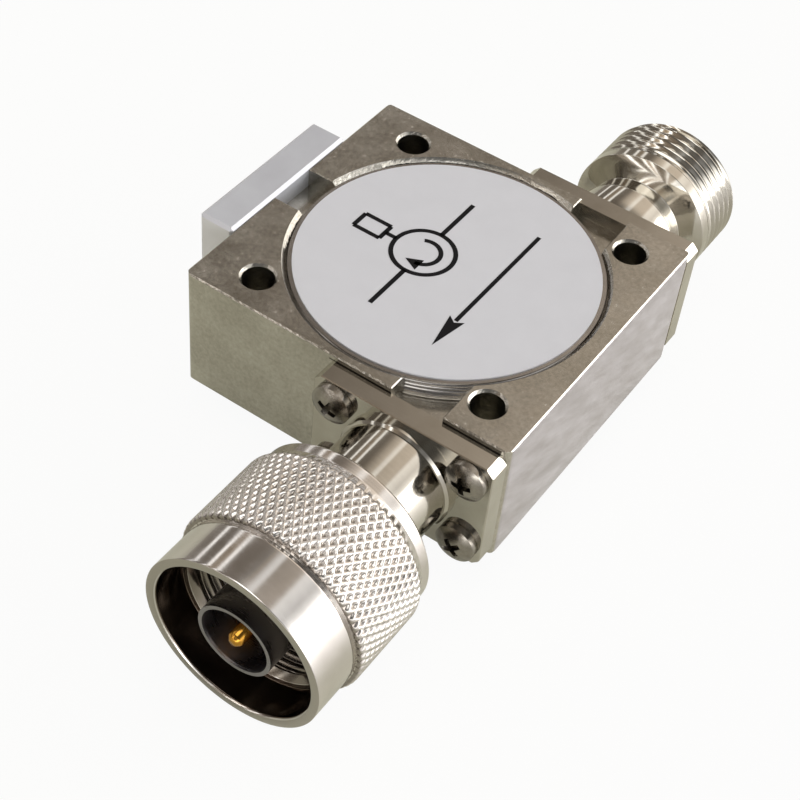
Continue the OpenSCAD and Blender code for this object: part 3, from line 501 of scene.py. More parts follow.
def nut_wear_and_shade(tree, place, colour, gloss):
    """Makes the knurl duller, paints its pits darker for dirt and shade, and paints shade on the front face, the
    mouth's wall and the thread.
    """
    along = add(tree, "ShaderNodeSeparateXYZ", {"Vector": place}).outputs["Y"]
    offset = add(tree, "ShaderNodeVectorMath", {0: place, 1: (AXIS_X, 0, AXIS_Z)}, operation="SUBTRACT")
    flat = add(tree, "ShaderNodeVectorMath", {0: offset.outputs["Vector"], 1: (1, 0, 1)}, operation="MULTIPLY")
    out = add(tree, "ShaderNodeVectorMath", {0: flat.outputs["Vector"]}, operation="LENGTH").outputs["Value"]
    middle, front = PLUG * (FACE_Y + (KNURL_FROM + KNURL_TO) / 2), PLUG * (FACE_Y + NUT_FACE)
    on_knurl = add(tree, "ShaderNodeMath", {0: along, 1: middle, 2: (KNURL_TO - KNURL_FROM) / 2},
                   operation="COMPARE")
    # The pits are painted darker, 98918a, partly for dirt and partly as painted shade.
    sunk = add(tree, "ShaderNodeMapRange", {
        "Value": out, "From Min": KNURL_R - KNURL_DEPTH, "From Max": KNURL_R - KNURL_DEPTH * 0.3,
        "To Min": 1, "To Max": 0})
    outside = add(tree, "ShaderNodeMath", {0: out, 1: SOLID_UNDER_KNURL}, operation="GREATER_THAN")
    sunk_there = add(tree, "ShaderNodeMath", {0: sunk, 1: on_knurl}, operation="MULTIPLY")
    pits = add(tree, "ShaderNodeMath", {0: sunk_there, 1: outside}, operation="MULTIPLY")
    # Painted shade: the front face is painted darker, aea9a2.
    front_ring = add(tree, "ShaderNodeMath", {0: along, 1: front, 2: 0.03}, operation="COMPARE")
    past_mouth = add(tree, "ShaderNodeMath", {0: along, 1: front + MOUTH_DEPTH + 0.05}, operation="GREATER_THAN")
    # Painted shade: the thread, 857e75, and the mouth's wall, 6b6056, are painted dark.
    within = add(tree, "ShaderNodeMath", {0: out, 1: SHADE_INSIDE_FROM}, operation="LESS_THAN")
    thread = add(tree, "ShaderNodeMath", {0: within, 1: past_mouth}, operation="MULTIPLY")
    in_mouth = add(tree, "ShaderNodeMath", {0: along, 1: front, 2: MOUTH_DEPTH + 0.15}, operation="COMPARE")
    shade_inside_middle, shade_inside_half = (SHADE_INSIDE_FROM + SHADE_INSIDE_TO) / 2, (SHADE_INSIDE_TO - SHADE_INSIDE_FROM) / 2
    at_wall = add(tree, "ShaderNodeMath", {0: out, 1: shade_inside_middle, 2: shade_inside_half}, operation="COMPARE")
    wall = add(tree, "ShaderNodeMath", {0: at_wall, 1: in_mouth}, operation="MULTIPLY")
    for spot, dirt_and_shade in ((pits, "98918a"), (front_ring, "aea9a2"), (thread, "857e75"), (wall, "6b6056")):
        colour = add(tree, "ShaderNodeMix", {"Factor": spot, "A": colour, "B": linear(dirt_and_shade)}, data_type="RGBA")
    gloss = add(tree, "ShaderNodeMath", {0: on_knurl, 1: KNURL_DULLNESS, 2: gloss}, operation="MULTIPLY_ADD")
    return colour, gloss


satin_nickel = turned("satin_nickel_on_knurled_brass", ("cfcac4", "dcd8d4"), 0.13, ring_mm=0.12, ring_microns=2,
                      wear=nut_wear_and_shade)
print("nut finish:", len(satin_nickel.node_tree.nodes), "nodes")

# %% [markdown]
# The lid is turned steel with thin plating, darker than the block, and its face was cut from the
# side, so its rings run round the Z axis. The same stretched noise would need polar coordinates
# there, so rings of the Wave texture are used instead. Its side has a fine thread, which shows
# through the slots in the block's rim and is bands of the same texture. One wave of it is as long
# as 0.314 divided by its scale. The normal tells the face from the side, so that each gets only
# its own marks.

# %% Lid finish
LID_PITCH = 0.5
WAVE_AT_SCALE_1 = 0.314


def lid_steel():
    material, tree, shader, place = finish("thinly_plated_turned_steel", "aeaaa6", 1.0, 0.2)
    colour, _ = two_tones(tree, place, 3, ("a5a19d", "b8b4b0"))
    normal = add(tree, "ShaderNodeNewGeometry").outputs["True Normal"]
    upwards = add(tree, "ShaderNodeSeparateXYZ", {"Vector": normal}).outputs["Z"]
    level = add(tree, "ShaderNodeMath", {0: upwards}, operation="ABSOLUTE")
    rings = add(tree, "ShaderNodeTexWave", {"Vector": place, "Scale": 2.2, "Distortion": 0.4, "Detail": 3},
                wave_type="RINGS", rings_direction="Z").outputs["Fac"]
    face_rings = add(tree, "ShaderNodeMath", {0: rings, 1: level}, operation="MULTIPLY")
    face_relief = add(tree, "ShaderNodeBump", {"Height": face_rings, "Distance": 2 * MICRON})
    thread = add(tree, "ShaderNodeTexWave", {"Vector": place, "Scale": WAVE_AT_SCALE_1 / LID_PITCH},
                 wave_type="BANDS", bands_direction="Z").outputs["Fac"]
    upright = add(tree, "ShaderNodeMath", {0: 1.0, 1: level}, operation="SUBTRACT")
    side_thread = add(tree, "ShaderNodeMath", {0: thread, 1: upright}, operation="MULTIPLY")
    relief = add(tree, "ShaderNodeBump", {
        "Height": side_thread, "Distance": 120 * MICRON, "Normal": face_relief})
    feed(tree, shader, {"Base Color": colour, "Normal": relief})
    return material


lid_metal = lid_steel()
print("lid thread:", LID_PITCH, "mm a turn")

# %% [markdown]
# ## Anodised aluminium
# The load block is cut from aluminium and clear anodised after a fine blast. The oxide scatters
# light, so the surface is pale and even, with a soft grain finer than a tenth of a millimetre. Its
# sawn ends are painted a little paler than its sides as painted light, and its broken edges are
# painted paler as thin painted highlights.

# %% Anodised finish
def anodised():
    material, tree, shader, place = finish("clear_anodised_aluminium", "dddfe5", 0.6, 0.6)
    sides, _ = two_tones(tree, place, 5, ("c0c2c9", "c8cbd1"), detail=5)
    normal = add(tree, "ShaderNodeNewGeometry").outputs["True Normal"]
    # Painted light: the ends, which look along Y, are painted paler, e8e8ec, than the sides.
    endways = add(tree, "ShaderNodeSeparateXYZ", {"Vector": normal}).outputs["Y"]
    ends = add(tree, "ShaderNodeMath", {0: endways}, operation="ABSOLUTE")
    faces = add(tree, "ShaderNodeMix", {"Factor": ends, "A": sides, "B": linear("e8e8ec")}, data_type="RGBA")
    # Painted highlight: the slanting facets are painted paler, d6d7dd.
    colour = add(tree, "ShaderNodeMix", {"Factor": slanting_facets(tree), "A": faces, "B": linear("d6d7dd")},
                 data_type="RGBA")
    grain = add(tree, "ShaderNodeTexNoise", {
        "Vector": place, "Scale": 1 / 0.08, "Detail": 2, "Roughness": 0.55})
    gloss = add(tree, "ShaderNodeMapRange", {
        "Value": grain, "From Min": 0.3, "From Max": 0.7, "To Min": 0.55, "To Max": 0.65})
    relief = add(tree, "ShaderNodeBump", {"Height": grain, "Distance": 2 * MICRON})
    feed(tree, shader, {"Base Color": colour, "Roughness": gloss, "Normal": relief})
    return material


anodised_aluminium = anodised()
print("load block finish:", anodised_aluminium.name)

# %% [markdown]
# ## Plated screw steel
# The flange screws are cold-headed and rolled, tumbled and plated dark. Their heads are rubbed
# bright in places and duller in others, with soft dents from the tumbling.

# %% Screw finish
def screw_finish():
    material, tree, shader, place = finish("dark_plated_screw_steel", "8f8a82", 1.0, 0.22)
    colour, tone = two_tones(tree, place, 1.2, ("827d75", "a09b93"), low=0.35, high=0.65)
    gloss = add(tree, "ShaderNodeMapRange", {"Value": tone, "To Min": 0.28, "To Max": 0.16})
    dents = add(tree, "ShaderNodeTexNoise", {
        "Vector": place, "Scale": 1 / 0.35, "Detail": 3, "Roughness": 0.55})
    relief = add(tree, "ShaderNodeBump", {"Height": dents, "Distance": 5 * MICRON})
    feed(tree, shader, {"Base Color": colour, "Roughness": gloss, "Normal": relief})
    return material


screw_steel = screw_finish()
print("screw finish:", screw_steel.name)

# %% [markdown]
# ## Label film, ink and the inner materials
# The label is a satin film with a faint cool tint, and its ink is a matt black. The inner pieces
# are closed in by the lid and show only when the model is taken apart, so each gets a short but
# true finish: two close tones and one fine grain.

# %% Other finishes
def plain(name, colours, metallic, roughness, grain_mm, grain_microns):
    """A finish with a soft change of tone and a fine grain of one size."""
    material, tree, shader, place = finish(name, colours[0], metallic, roughness)
    colour, _ = two_tones(tree, place, 3, colours)
    grain = add(tree, "ShaderNodeTexNoise", {
        "Vector": place, "Scale": 1 / grain_mm, "Detail": 3, "Roughness": 0.55})
    gloss = add(tree, "ShaderNodeMapRange", {
        "Value": grain, "From Min": 0.3, "From Max": 0.7,
        "To Min": roughness * 0.85, "To Max": roughness * 1.15})
    relief = add(tree, "ShaderNodeBump", {"Height": grain, "Distance": grain_microns * MICRON})
    feed(tree, shader, {"Base Color": colour, "Roughness": gloss, "Normal": relief})
    return material


# Satin film gives broad, soft highlights and no clear mirror image.
label_film = plain("satin_label_film", ("caccd2", "cdcfd5"), 0.0, 0.42, 0.3, 1)
# Ink soaks up nearly all light, so its weak gloss is turned down as well.
label_ink = plain("black_label_ink", ("08080c", "0d0d11"), 0.0, 0.5, 0.2, 1)
label_ink.node_tree.nodes["Principled BSDF"].inputs["Specular IOR Level"].default_value = 0.15
# Ceramic magnets are pressed from powder: dark grey, dull and grainy.
pressed_magnet = plain("pressed_ceramic_magnet", ("4a4a4d", "56565a"), 0.0, 0.6, 0.2, 8)
# Ferrite is darker, and lapping leaves it with an even, slightly shiny face.
lapped_ferrite = plain("lapped_ferrite", ("2c2c2f", "35353a"), 0.0, 0.35, 0.1, 3)
# Cold-rolled steel is pale grey with a soft metal sheen.
rolled_steel = plain("rolled_pole_steel", ("b3b1ac", "bdbbb6"), 1.0, 0.3, 0.15, 3)
# The thin flash of silver leaves copper pink and bright.
copper_foil = plain("silver_flashed_copper_foil", ("c98f6c", "d6a483"), 1.0, 0.25, 0.15, 2)
# Silver plate is the palest metal here, with a smooth sheen.
silver_foil = plain("silver_plated_foil", ("d3d1cc", "dcdad6"), 1.0, 0.2, 0.15, 2)
# Fired alumina is chalky white with a hint of cream.
fired_ceramic = plain("fired_white_ceramic", ("e4e0d3", "ece9df"), 0.0, 0.45, 0.1, 3)
# Fluoropolymer is a waxy white, with faint marks of the lathe.
fluoropolymer = plain("turned_fluoropolymer", ("e9e9e2", "f0f0eb"), 0.0, 0.4, 0.12, 4)
# Moulded rubber is nearly black and matt.
soft_rubber = plain("moulded_soft_rubber", ("242424", "2c2c2c"), 0.0, 0.6, 0.1, 5)
print("materials so far:", len(bpy.data.materials))

# %% [markdown]
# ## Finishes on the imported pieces
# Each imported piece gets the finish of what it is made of. Pieces that are made again further on
# get theirs here too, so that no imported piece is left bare.

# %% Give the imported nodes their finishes
NODE_FINISH = {
    "housing": milled_nickel, "lid": lid_metal, "label": label_film, "compensator_disc": lid_metal,
    "upper_magnet": pressed_magnet, "lower_magnet": pressed_magnet, "upper_pole_plate": rolled_steel,
    "lower_pole_plate": rolled_steel, "upper_ferrite": lapped_ferrite, "lower_ferrite": lapped_ferrite,
    "centre_conductor": copper_foil, "ground_ring": bare_brass, "port_capacitors": fired_ceramic,
    "load_block": anodised_aluminium, "load_chip": fired_ceramic, "load_tab": silver_foil,
    "load_screws": screw_steel, "plug_body": bright_nickel, "plug_insulator": fluoropolymer, "plug_pin": gold,
    "plug_sleeve": shaded_sleeve_nickel, "plug_gasket": soft_rubber, "plug_screws": screw_steel,
    "retaining_ring": bare_brass, "coupling_nut": satin_nickel, "jack_body": bright_nickel,
    "jack_insulator": fluoropolymer, "jack_contact": gold, "jack_screws": screw_steel,
}
for name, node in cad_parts.items():
    node.data.materials.clear()
    node.data.materials.append(NODE_FINISH[name])
print("nodes with a finish:", len(NODE_FINISH))

# %% [markdown]
# ## Turned parts as revolved outlines
# A turned part is an outline swept once round an axis. The outline is a closed loop of points,
# each a reach along the axis and a radius. A real tool never leaves a perfectly sharp corner, and
# it is the small round at each edge that catches the light, so a helper rounds every corner.

# %% Outlines
def rounded(outline, radius=0.07, steps=2):
    """The outline with each clear corner replaced by a small curve of steps + 1 points."""
    points = [Vector(p) for p in outline]
    result = []
    for i, corner in enumerate(points):
        before, after = points[i - 1] - corner, points[(i + 1) % len(points)] - corner
        turn = math.pi - before.angle(after)
        if turn < math.radians(15):
            result.append(corner)
            continue
        cut = min(radius * math.tan(turn / 2), 0.45 * before.length, 0.45 * after.length)
        start, end = corner + before.normalized() * cut, corner + after.normalized() * cut
        for k in range(steps + 1):
            t = k / steps
            result.append((1 - t) ** 2 * start + 2 * t * (1 - t) * corner + t ** 2 * end)
    return result


def subdivided(a, b, step):
    """Points from a to b at most step apart, with both ends."""
    a, b = Vector(a), Vector(b)
    count = max(1, math.ceil((b - a).length / step))
    return [a.lerp(b, i / count) for i in range(count + 1)]


print("a square corner gets", len(rounded([(0, 0), (1, 0), (1, 1), (0, 1)])) // 4, "points")

# %% [markdown]
# A mesh becomes a piece when an object carries it. Smooth shading makes its many small faces look
# like one turned surface, and edges past a given angle stay crisp.

# %% Meshes and objects
def new_object(name, mesh, material, sharp_degrees=32):
    """An object for a finished mesh, smooth but for edges sharper than an angle."""
    mesh.materials.clear()
    mesh.materials.append(material)
    mesh.shade_smooth()
    mesh.set_sharp_from_angle(angle=math.radians(sharp_degrees))
    piece = bpy.data.objects.new(name, mesh)
    scene.collection.objects.link(piece)
    return piece


def closed_mesh(name, work):
    """Ends the making of a closed mesh: its faces are turned outwards and written down."""
    bmesh.ops.recalc_face_normals(work, faces=work.faces)
    mesh = bpy.data.meshes.new(name)
    work.to_mesh(mesh)
    work.free()
    return mesh


def revolve(name, outline, columns, side):
    """A closed ring: the outline turned round the connectors' axis, on the plug's or jack's side."""
    print(name + ":", len(outline), "points of outline,", columns, "columns")
    points, faces = [], []
    rows = len(outline)
    for reach, radius in outline:
        for j in range(columns):
            angle = 2 * math.pi * j / columns
            points.append(Vector((AXIS_X + radius * math.cos(angle), side * (FACE_Y + reach),
                                  AXIS_Z + radius * math.sin(angle))) * MM)
    for i in range(rows):
        for j in range(columns):
            k, m = (i + 1) % rows, (j + 1) % columns
            faces.append((i * columns + j, i * columns + m, k * columns + m, k * columns + j))
    mesh = bpy.data.meshes.new(name)
    mesh.from_pydata(points, [], faces)
    work = bmesh.new()
    work.from_mesh(mesh)
    bmesh.ops.recalc_face_normals(work, faces=work.faces)
    work.to_mesh(mesh)
    work.free()
    return mesh


print("turned parts go round x", round(AXIS_X, 3), "and z", round(AXIS_Z, 3))

# %% [markdown]
# ## The block
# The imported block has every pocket, port and hole, but its four upright corners are square. On
# the real one they are rounded. A boolean cuts a copy of it with a prism whose corners are round,
# and a bevel then breaks the sharp edges that this leaves. The tools for that come first, because
# the jack, the pin and the screws use them as well.

# %% Copies, prisms and cuts
def merged_copy(name, node):
    """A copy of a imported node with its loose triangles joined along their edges."""
    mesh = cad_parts[node].data.copy()
    work = bmesh.new()
    work.from_mesh(mesh)
    bmesh.ops.remove_doubles(work, verts=work.verts, dist=0.0005 * MM)
    bmesh.ops.dissolve_limit(work, angle_limit=math.radians(0.2), verts=work.verts, edges=work.edges)
    work.to_mesh(mesh)
    work.free()
    mesh.name = name
    return mesh


def prism(name, outlines, low, high):
    """A mesh that fills outlines from one height to another, all in mm."""
    work = bmesh.new()
    for outline in outlines:
        face = work.faces.new([work.verts.new(Vector((x, y, low)) * MM) for x, y in outline])
        lifted = bmesh.ops.extrude_face_region(work, geom=[face])["geom"]
        bmesh.ops.translate(work, verts=[v for v in lifted if isinstance(v, bmesh.types.BMVert)],
                            vec=(0, 0, (high - low) * MM))
    return closed_mesh(name, work)


def applied(piece, kind, **settings):
    """Runs one modifier on an object and keeps only its result."""
    modifier = piece.modifiers.new(kind.lower(), kind)
    for name, value in settings.items():
        setattr(modifier, name, value)
    bpy.context.view_layer.update()
    graph = bpy.context.evaluated_depsgraph_get()
    made = bpy.data.meshes.new_from_object(
        piece.evaluated_get(graph), preserve_all_data_layers=True, depsgraph=graph)
    piece.modifiers.clear()
    piece.data = made
    return piece


def cut(piece, operation, mesh, **settings):
    """A boolean between an object and a mesh that is thrown away afterwards."""
    tool = bpy.data.objects.new("cutting_tool", mesh)
    scene.collection.objects.link(tool)
    applied(piece, "BOOLEAN", operation=operation, solver="EXACT", object=tool, **settings)
    bpy.data.objects.remove(tool)
    return piece


print("loose triangles of the packed block:", len(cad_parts["housing"].data.polygons))

# %% [markdown]
# Smooth shading would bend the light on the flat faces beside each bevel. A milled face is truly
# flat, so the edges between flat and slanting faces are marked sharp.

# %% Block
CORNER_R, CORNER_STEPS = 1.0, 8
EDGE_BREAK = 0.1


def part_flats(piece):
    """Marks each edge between a face along an axis and a slanting one, so that flats shade flat."""
    work = bmesh.new()
    work.from_mesh(piece.data)
    for edge in work.edges:
        flat = [max(abs(c) for c in face.normal) > 0.9999 for face in edge.link_faces]
        if len(flat) == 2 and flat[0] != flat[1]:
            edge.smooth = False
    work.to_mesh(piece.data)
    work.free()


def block():
    low, high = block_low / MM, block_high / MM
    corners = [(low.x, low.y), (high.x, low.y), (high.x, high.y), (low.x, high.y)]
    body = new_object("housing_finished", merged_copy("housing_copy", "housing"), milled_nickel)
    round_corners = [rounded(corners, CORNER_R, CORNER_STEPS)]
    cut(body, "INTERSECT", prism("round_corners", round_corners, low.z - 1, high.z + 1))
    applied(body, "BEVEL", width=EDGE_BREAK * MM, segments=2, limit_method="ANGLE", angle_limit=math.radians(60))
    body.data.shade_smooth()
    body.data.set_sharp_from_angle(angle=math.radians(20))
    part_flats(body)
    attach(body, "block")
    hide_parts("housing")
    return body


housing = block()
print("block:", len(housing.data.polygons), "faces")

# %% [markdown]
# ## Geometry Nodes for threads and knurls
# A thread and a knurl both follow a rule: how far the surface is cut depends only on the reach
# along the axis and the angle round it. A node tree can apply that rule to a fine revolved mesh.
# For a thread the rule is a triangle wave that climbs one pitch each turn. For a diamond knurl
# it is the larger of two such waves, which climb opposite ways: raised ridges cross each other
# and leave a pit between every four crossings. Modelling each diamond by hand would be slower
# and harder to change.

# %% Building and running a tree
def new_tree(name, inputs):
    """A geometry node tree with named inputs. Gives the tree and the sockets of its input node."""
    tree = bpy.data.node_groups.new(name, "GeometryNodeTree")
    tree.interface.new_socket("Geometry", in_out="INPUT", socket_type="NodeSocketGeometry")
    tree.interface.new_socket("Geometry", in_out="OUTPUT", socket_type="NodeSocketGeometry")
    for label, value in inputs.items():
        kind = "NodeSocketMaterial" if isinstance(value, bpy.types.Material) else "NodeSocketFloat"
        kind = "NodeSocketObject" if isinstance(value, bpy.types.Object) else kind
        tree.interface.new_socket(label, in_out="INPUT", socket_type=kind)
    return tree, add(tree, "NodeGroupInput").outputs


def close_tree(tree, geometry, material):
    """Ends a tree in Realize Instances and Set Material."""
    real = add(tree, "GeometryNodeRealizeInstances", {"Geometry": geometry})
    coated = add(tree, "GeometryNodeSetMaterial", {"Geometry": real, "Material": material})
    add(tree, "NodeGroupOutput", {"Geometry": coated})


def run_tree(name, mesh, tree, values, material):
    """Runs a tree on a mesh and gives a new plain object with the result."""
    carrier = bpy.data.objects.new(name + "_source", mesh)
    scene.collection.objects.link(carrier)
    modifier = carrier.modifiers.new("shape", "NODES")
    modifier.node_group = tree
    sockets = {s.name: s.identifier for s in tree.interface.items_tree
               if s.item_type == "SOCKET" and s.in_out == "INPUT"}
    for label, value in values.items():
        modifier[sockets[label]] = value
    bpy.context.view_layer.update()
    evaluated = carrier.evaluated_get(bpy.context.evaluated_depsgraph_get())
    made = bpy.data.meshes.new_from_object(evaluated)
    bpy.data.objects.remove(carrier)
    made.name = name
    return new_object(name, made, material)


print("node trees so far:", len(bpy.data.node_groups))

# %% [markdown]
# Both rules ask the same of each point: how far out along the axis, how far from it and how far
# round it is. They also end the same way, with a move straight towards the axis or away from it.

# %% Places round the axis
TOUCH = 0.02


def polar(tree, socket):
    """Each point's reach, radius and turns round the axis, its offsets across and up, and its Y."""
    spot = add(tree, "ShaderNodeSeparateXYZ", {"Vector": add(tree, "GeometryNodeInputPosition")}).outputs
    across = add(tree, "ShaderNodeMath", {0: spot["X"], 1: 1 / MM, 2: -AXIS_X}, operation="MULTIPLY_ADD")
    up = add(tree, "ShaderNodeMath", {0: spot["Z"], 1: 1 / MM, 2: -AXIS_Z}, operation="MULTIPLY_ADD")
    along = add(tree, "ShaderNodeMath", {0: spot["Y"], 1: 1 / MM}, operation="MULTIPLY")
    outwards = add(tree, "ShaderNodeMath", {0: along, 1: socket["Side"]}, operation="MULTIPLY")
    reach = add(tree, "ShaderNodeMath", {0: outwards, 1: FACE_Y}, operation="SUBTRACT")
    square = add(tree, "ShaderNodeMath", {0: across, 1: across}, operation="MULTIPLY")
    squares = add(tree, "ShaderNodeMath", {0: up, 1: up, 2: square}, operation="MULTIPLY_ADD")
    radius = add(tree, "ShaderNodeMath", {0: squares}, operation="SQRT")
    angle = add(tree, "ShaderNodeMath", {0: up, 1: across}, operation="ARCTAN2")
    turns = add(tree, "ShaderNodeMath", {0: angle, 1: 2 * math.pi}, operation="DIVIDE")
    return reach, radius, turns, across, up, spot["Y"]


def triangle_wave(tree, value):
    """0 at each whole number and 1 halfway between."""
    half = add(tree, "ShaderNodeMath", {0: value, 1: 0.5}, operation="PINGPONG")
    return add(tree, "ShaderNodeMath", {0: half, 1: 2.0}, operation="MULTIPLY")


def moved_surface(tree, socket, radius, wanted, across, up, along):
    """Moves the points that lie on the surface radius straight out or in to a wanted radius."""
    near = add(tree, "ShaderNodeMath", {0: radius, 1: socket["Surface Radius"], 2: TOUCH}, operation="COMPARE")
    share = add(tree, "ShaderNodeMath", {0: wanted, 1: radius}, operation="DIVIDE")
    x = add(tree, "ShaderNodeMath", {0: across, 1: share, 2: AXIS_X}, operation="MULTIPLY_ADD")
    z = add(tree, "ShaderNodeMath", {0: up, 1: share, 2: AXIS_Z}, operation="MULTIPLY_ADD")
    x_in_metres = add(tree, "ShaderNodeMath", {0: x, 1: MM}, operation="MULTIPLY")
    z_in_metres = add(tree, "ShaderNodeMath", {0: z, 1: MM}, operation="MULTIPLY")
    place = add(tree, "ShaderNodeCombineXYZ", {"X": x_in_metres, "Y": along, "Z": z_in_metres})
    return add(tree, "GeometryNodeSetPosition", {
        "Geometry": socket["Geometry"], "Selection": near, "Position": place})


print("points within", TOUCH, "mm of a surface count as on it")

# %% [markdown]
# The thread's wave is made steeper and cut off at 0 and 1, which leaves the narrow flat crests
# and roots of a real thread. At both ends it fades out, as where a tool runs in and out.

# %% The thread tree
FLANK_SLOPE, CREST_SHARE = 1.35, 0.2


def thread_tree():
    """Cuts a helical thread into every point that lies on a cylinder of the surface radius."""
    names = ("Side", "Surface Radius", "Start", "End", "Pitch", "Depth", "Run Out")
    tree, socket = new_tree("cut_thread", {**dict.fromkeys(names, 1), "Material": bright_nickel})
    reach, radius, turns, across, up, along = polar(tree, socket)
    pitches = add(tree, "ShaderNodeMath", {0: reach, 1: socket["Pitch"]}, operation="DIVIDE")
    climb = add(tree, "ShaderNodeMath", {0: pitches, 1: turns}, operation="SUBTRACT")
    flank = add(tree, "ShaderNodeMath", {0: triangle_wave(tree, climb), 1: FLANK_SLOPE, 2: -CREST_SHARE},
                operation="MULTIPLY_ADD", use_clamp=True)
    past_start = add(tree, "ShaderNodeMath", {0: reach, 1: socket["Start"]}, operation="SUBTRACT")
    before_end = add(tree, "ShaderNodeMath", {0: socket["End"], 1: reach}, operation="SUBTRACT")
    run_in, run_out = [
        add(tree, "ShaderNodeMath", {0: distance, 1: socket["Run Out"]}, operation="DIVIDE", use_clamp=True)
        for distance in (past_start, before_end)]
    fade = add(tree, "ShaderNodeMath", {0: run_in, 1: run_out}, operation="MINIMUM")
    share = add(tree, "ShaderNodeMath", {0: flank, 1: fade}, operation="MULTIPLY")
    depth = add(tree, "ShaderNodeMath", {0: share, 1: socket["Depth"]}, operation="MULTIPLY")
    wanted = add(tree, "ShaderNodeMath", {0: socket["Surface Radius"], 1: depth}, operation="SUBTRACT")
    close_tree(tree, moved_surface(tree, socket, radius, wanted, across, up, along), socket["Material"])
    return tree


cut_thread = thread_tree()
print("thread tree:", len(cut_thread.nodes), "nodes")

# %% [markdown]
# The knurl's two waves climb opposite ways round the nut. The floor of the pits and the tops of
# the ridges are flat, because the wave is cut off below "Floor" and above "Flat". A slope at both
# ends stands for the chamfer that a knurled band gets on the lathe.

# %% The knurl tree
def knurl_tree():
    """Rolls a diamond knurl into every point that lies on a cylinder of the surface radius."""
    names = ("Side", "Surface Radius", "Start", "End", "Starts", "Diamond Length", "Depth", "Floor", "Flat",
             "End Slope")
    tree, socket = new_tree("roll_knurl", {**dict.fromkeys(names, 1), "Material": satin_nickel})
    reach, radius, turns, across, up, along = polar(tree, socket)
    inside = add(tree, "ShaderNodeMath", {0: reach, 1: socket["Start"]}, operation="SUBTRACT")
    round_nut = add(tree, "ShaderNodeMath", {0: turns, 1: socket["Starts"]}, operation="MULTIPLY")
    diamonds = add(tree, "ShaderNodeMath", {0: inside, 1: socket["Diamond Length"]}, operation="DIVIDE")
    right, left = [
        triangle_wave(tree, add(tree, "ShaderNodeMath", {0: round_nut, 1: diamonds}, operation=way))
        for way in ("ADD", "SUBTRACT")]
    ridge = add(tree, "ShaderNodeMath", {0: right, 1: left}, operation="MAXIMUM")
    above = add(tree, "ShaderNodeMath", {0: ridge, 1: socket["Floor"]}, operation="SUBTRACT")
    span = add(tree, "ShaderNodeMath", {0: socket["Flat"], 1: socket["Floor"]}, operation="SUBTRACT")
    rise = add(tree, "ShaderNodeMath", {0: above, 1: span}, operation="DIVIDE", use_clamp=True)
    low = add(tree, "ShaderNodeMath", {0: socket["Surface Radius"], 1: socket["Depth"]}, operation="SUBTRACT")
    knurled = add(tree, "ShaderNodeMath", {0: rise, 1: socket["Depth"], 2: low}, operation="MULTIPLY_ADD")
    to_end = add(tree, "ShaderNodeMath", {0: socket["End"], 1: reach}, operation="SUBTRACT")
    nearest = add(tree, "ShaderNodeMath", {0: inside, 1: to_end}, operation="MINIMUM")
    slope = add(tree, "ShaderNodeMath", {0: nearest, 1: socket["End Slope"], 2: low}, operation="MULTIPLY_ADD")
    wanted = add(tree, "ShaderNodeMath", {0: knurled, 1: slope}, operation="MINIMUM")
    close_tree(tree, moved_surface(tree, socket, radius, wanted, across, up, along), socket["Material"])
    return tree


roll_knurl = knurl_tree()
print("knurl tree:", len(roll_knurl.nodes), "nodes")

# %% [markdown]
# ## The coupling nut
# The nut is turned from brass bar. From its back it has a plain collar, a slope up to the knurl,
# the knurled band, a narrow groove and a smooth nose. Inside are the running bore for the neck,
# a slot for the retaining ring, the thread and a plain mouth. It is made as one closed ring, with
# rows close together where the knurl and the thread are. A smooth face takes its shading from
# its corners, so a long face gets an extra point close to each corner, which keeps it flat.

# %% The nut's outline
COLLAR_R, GROOVE_R, NOSE_R, MOUTH_CHAMFER = 9.5, 9.3, 9.55, 0.2
NOSE_FROM = NUT_BACK + 12.0
NUT_BORE_R, RING_SLOT_R, NUT_CORE_R, LEAD_IN = 6.08, 7.85, 7.4, 0.6
RING_SLOT_FROM, RING_SLOT_TO = NUT_BACK + 2.3, NUT_BACK + 3.5
MOUTH_FLOOR = NUT_FACE - MOUTH_DEPTH
NUT_THREAD_END = MOUTH_FLOOR - LEAD_IN
PITCH, THREAD_DEPTH = 1.058, 0.54
KNURL_STARTS, DIAMOND_LENGTH, CELLS_PER_HALF_DIAMOND = 66, 1.50, 4
# rounded() closes its outline and makes three points of a corner. Closing corners are cut off.
CORNER = 3


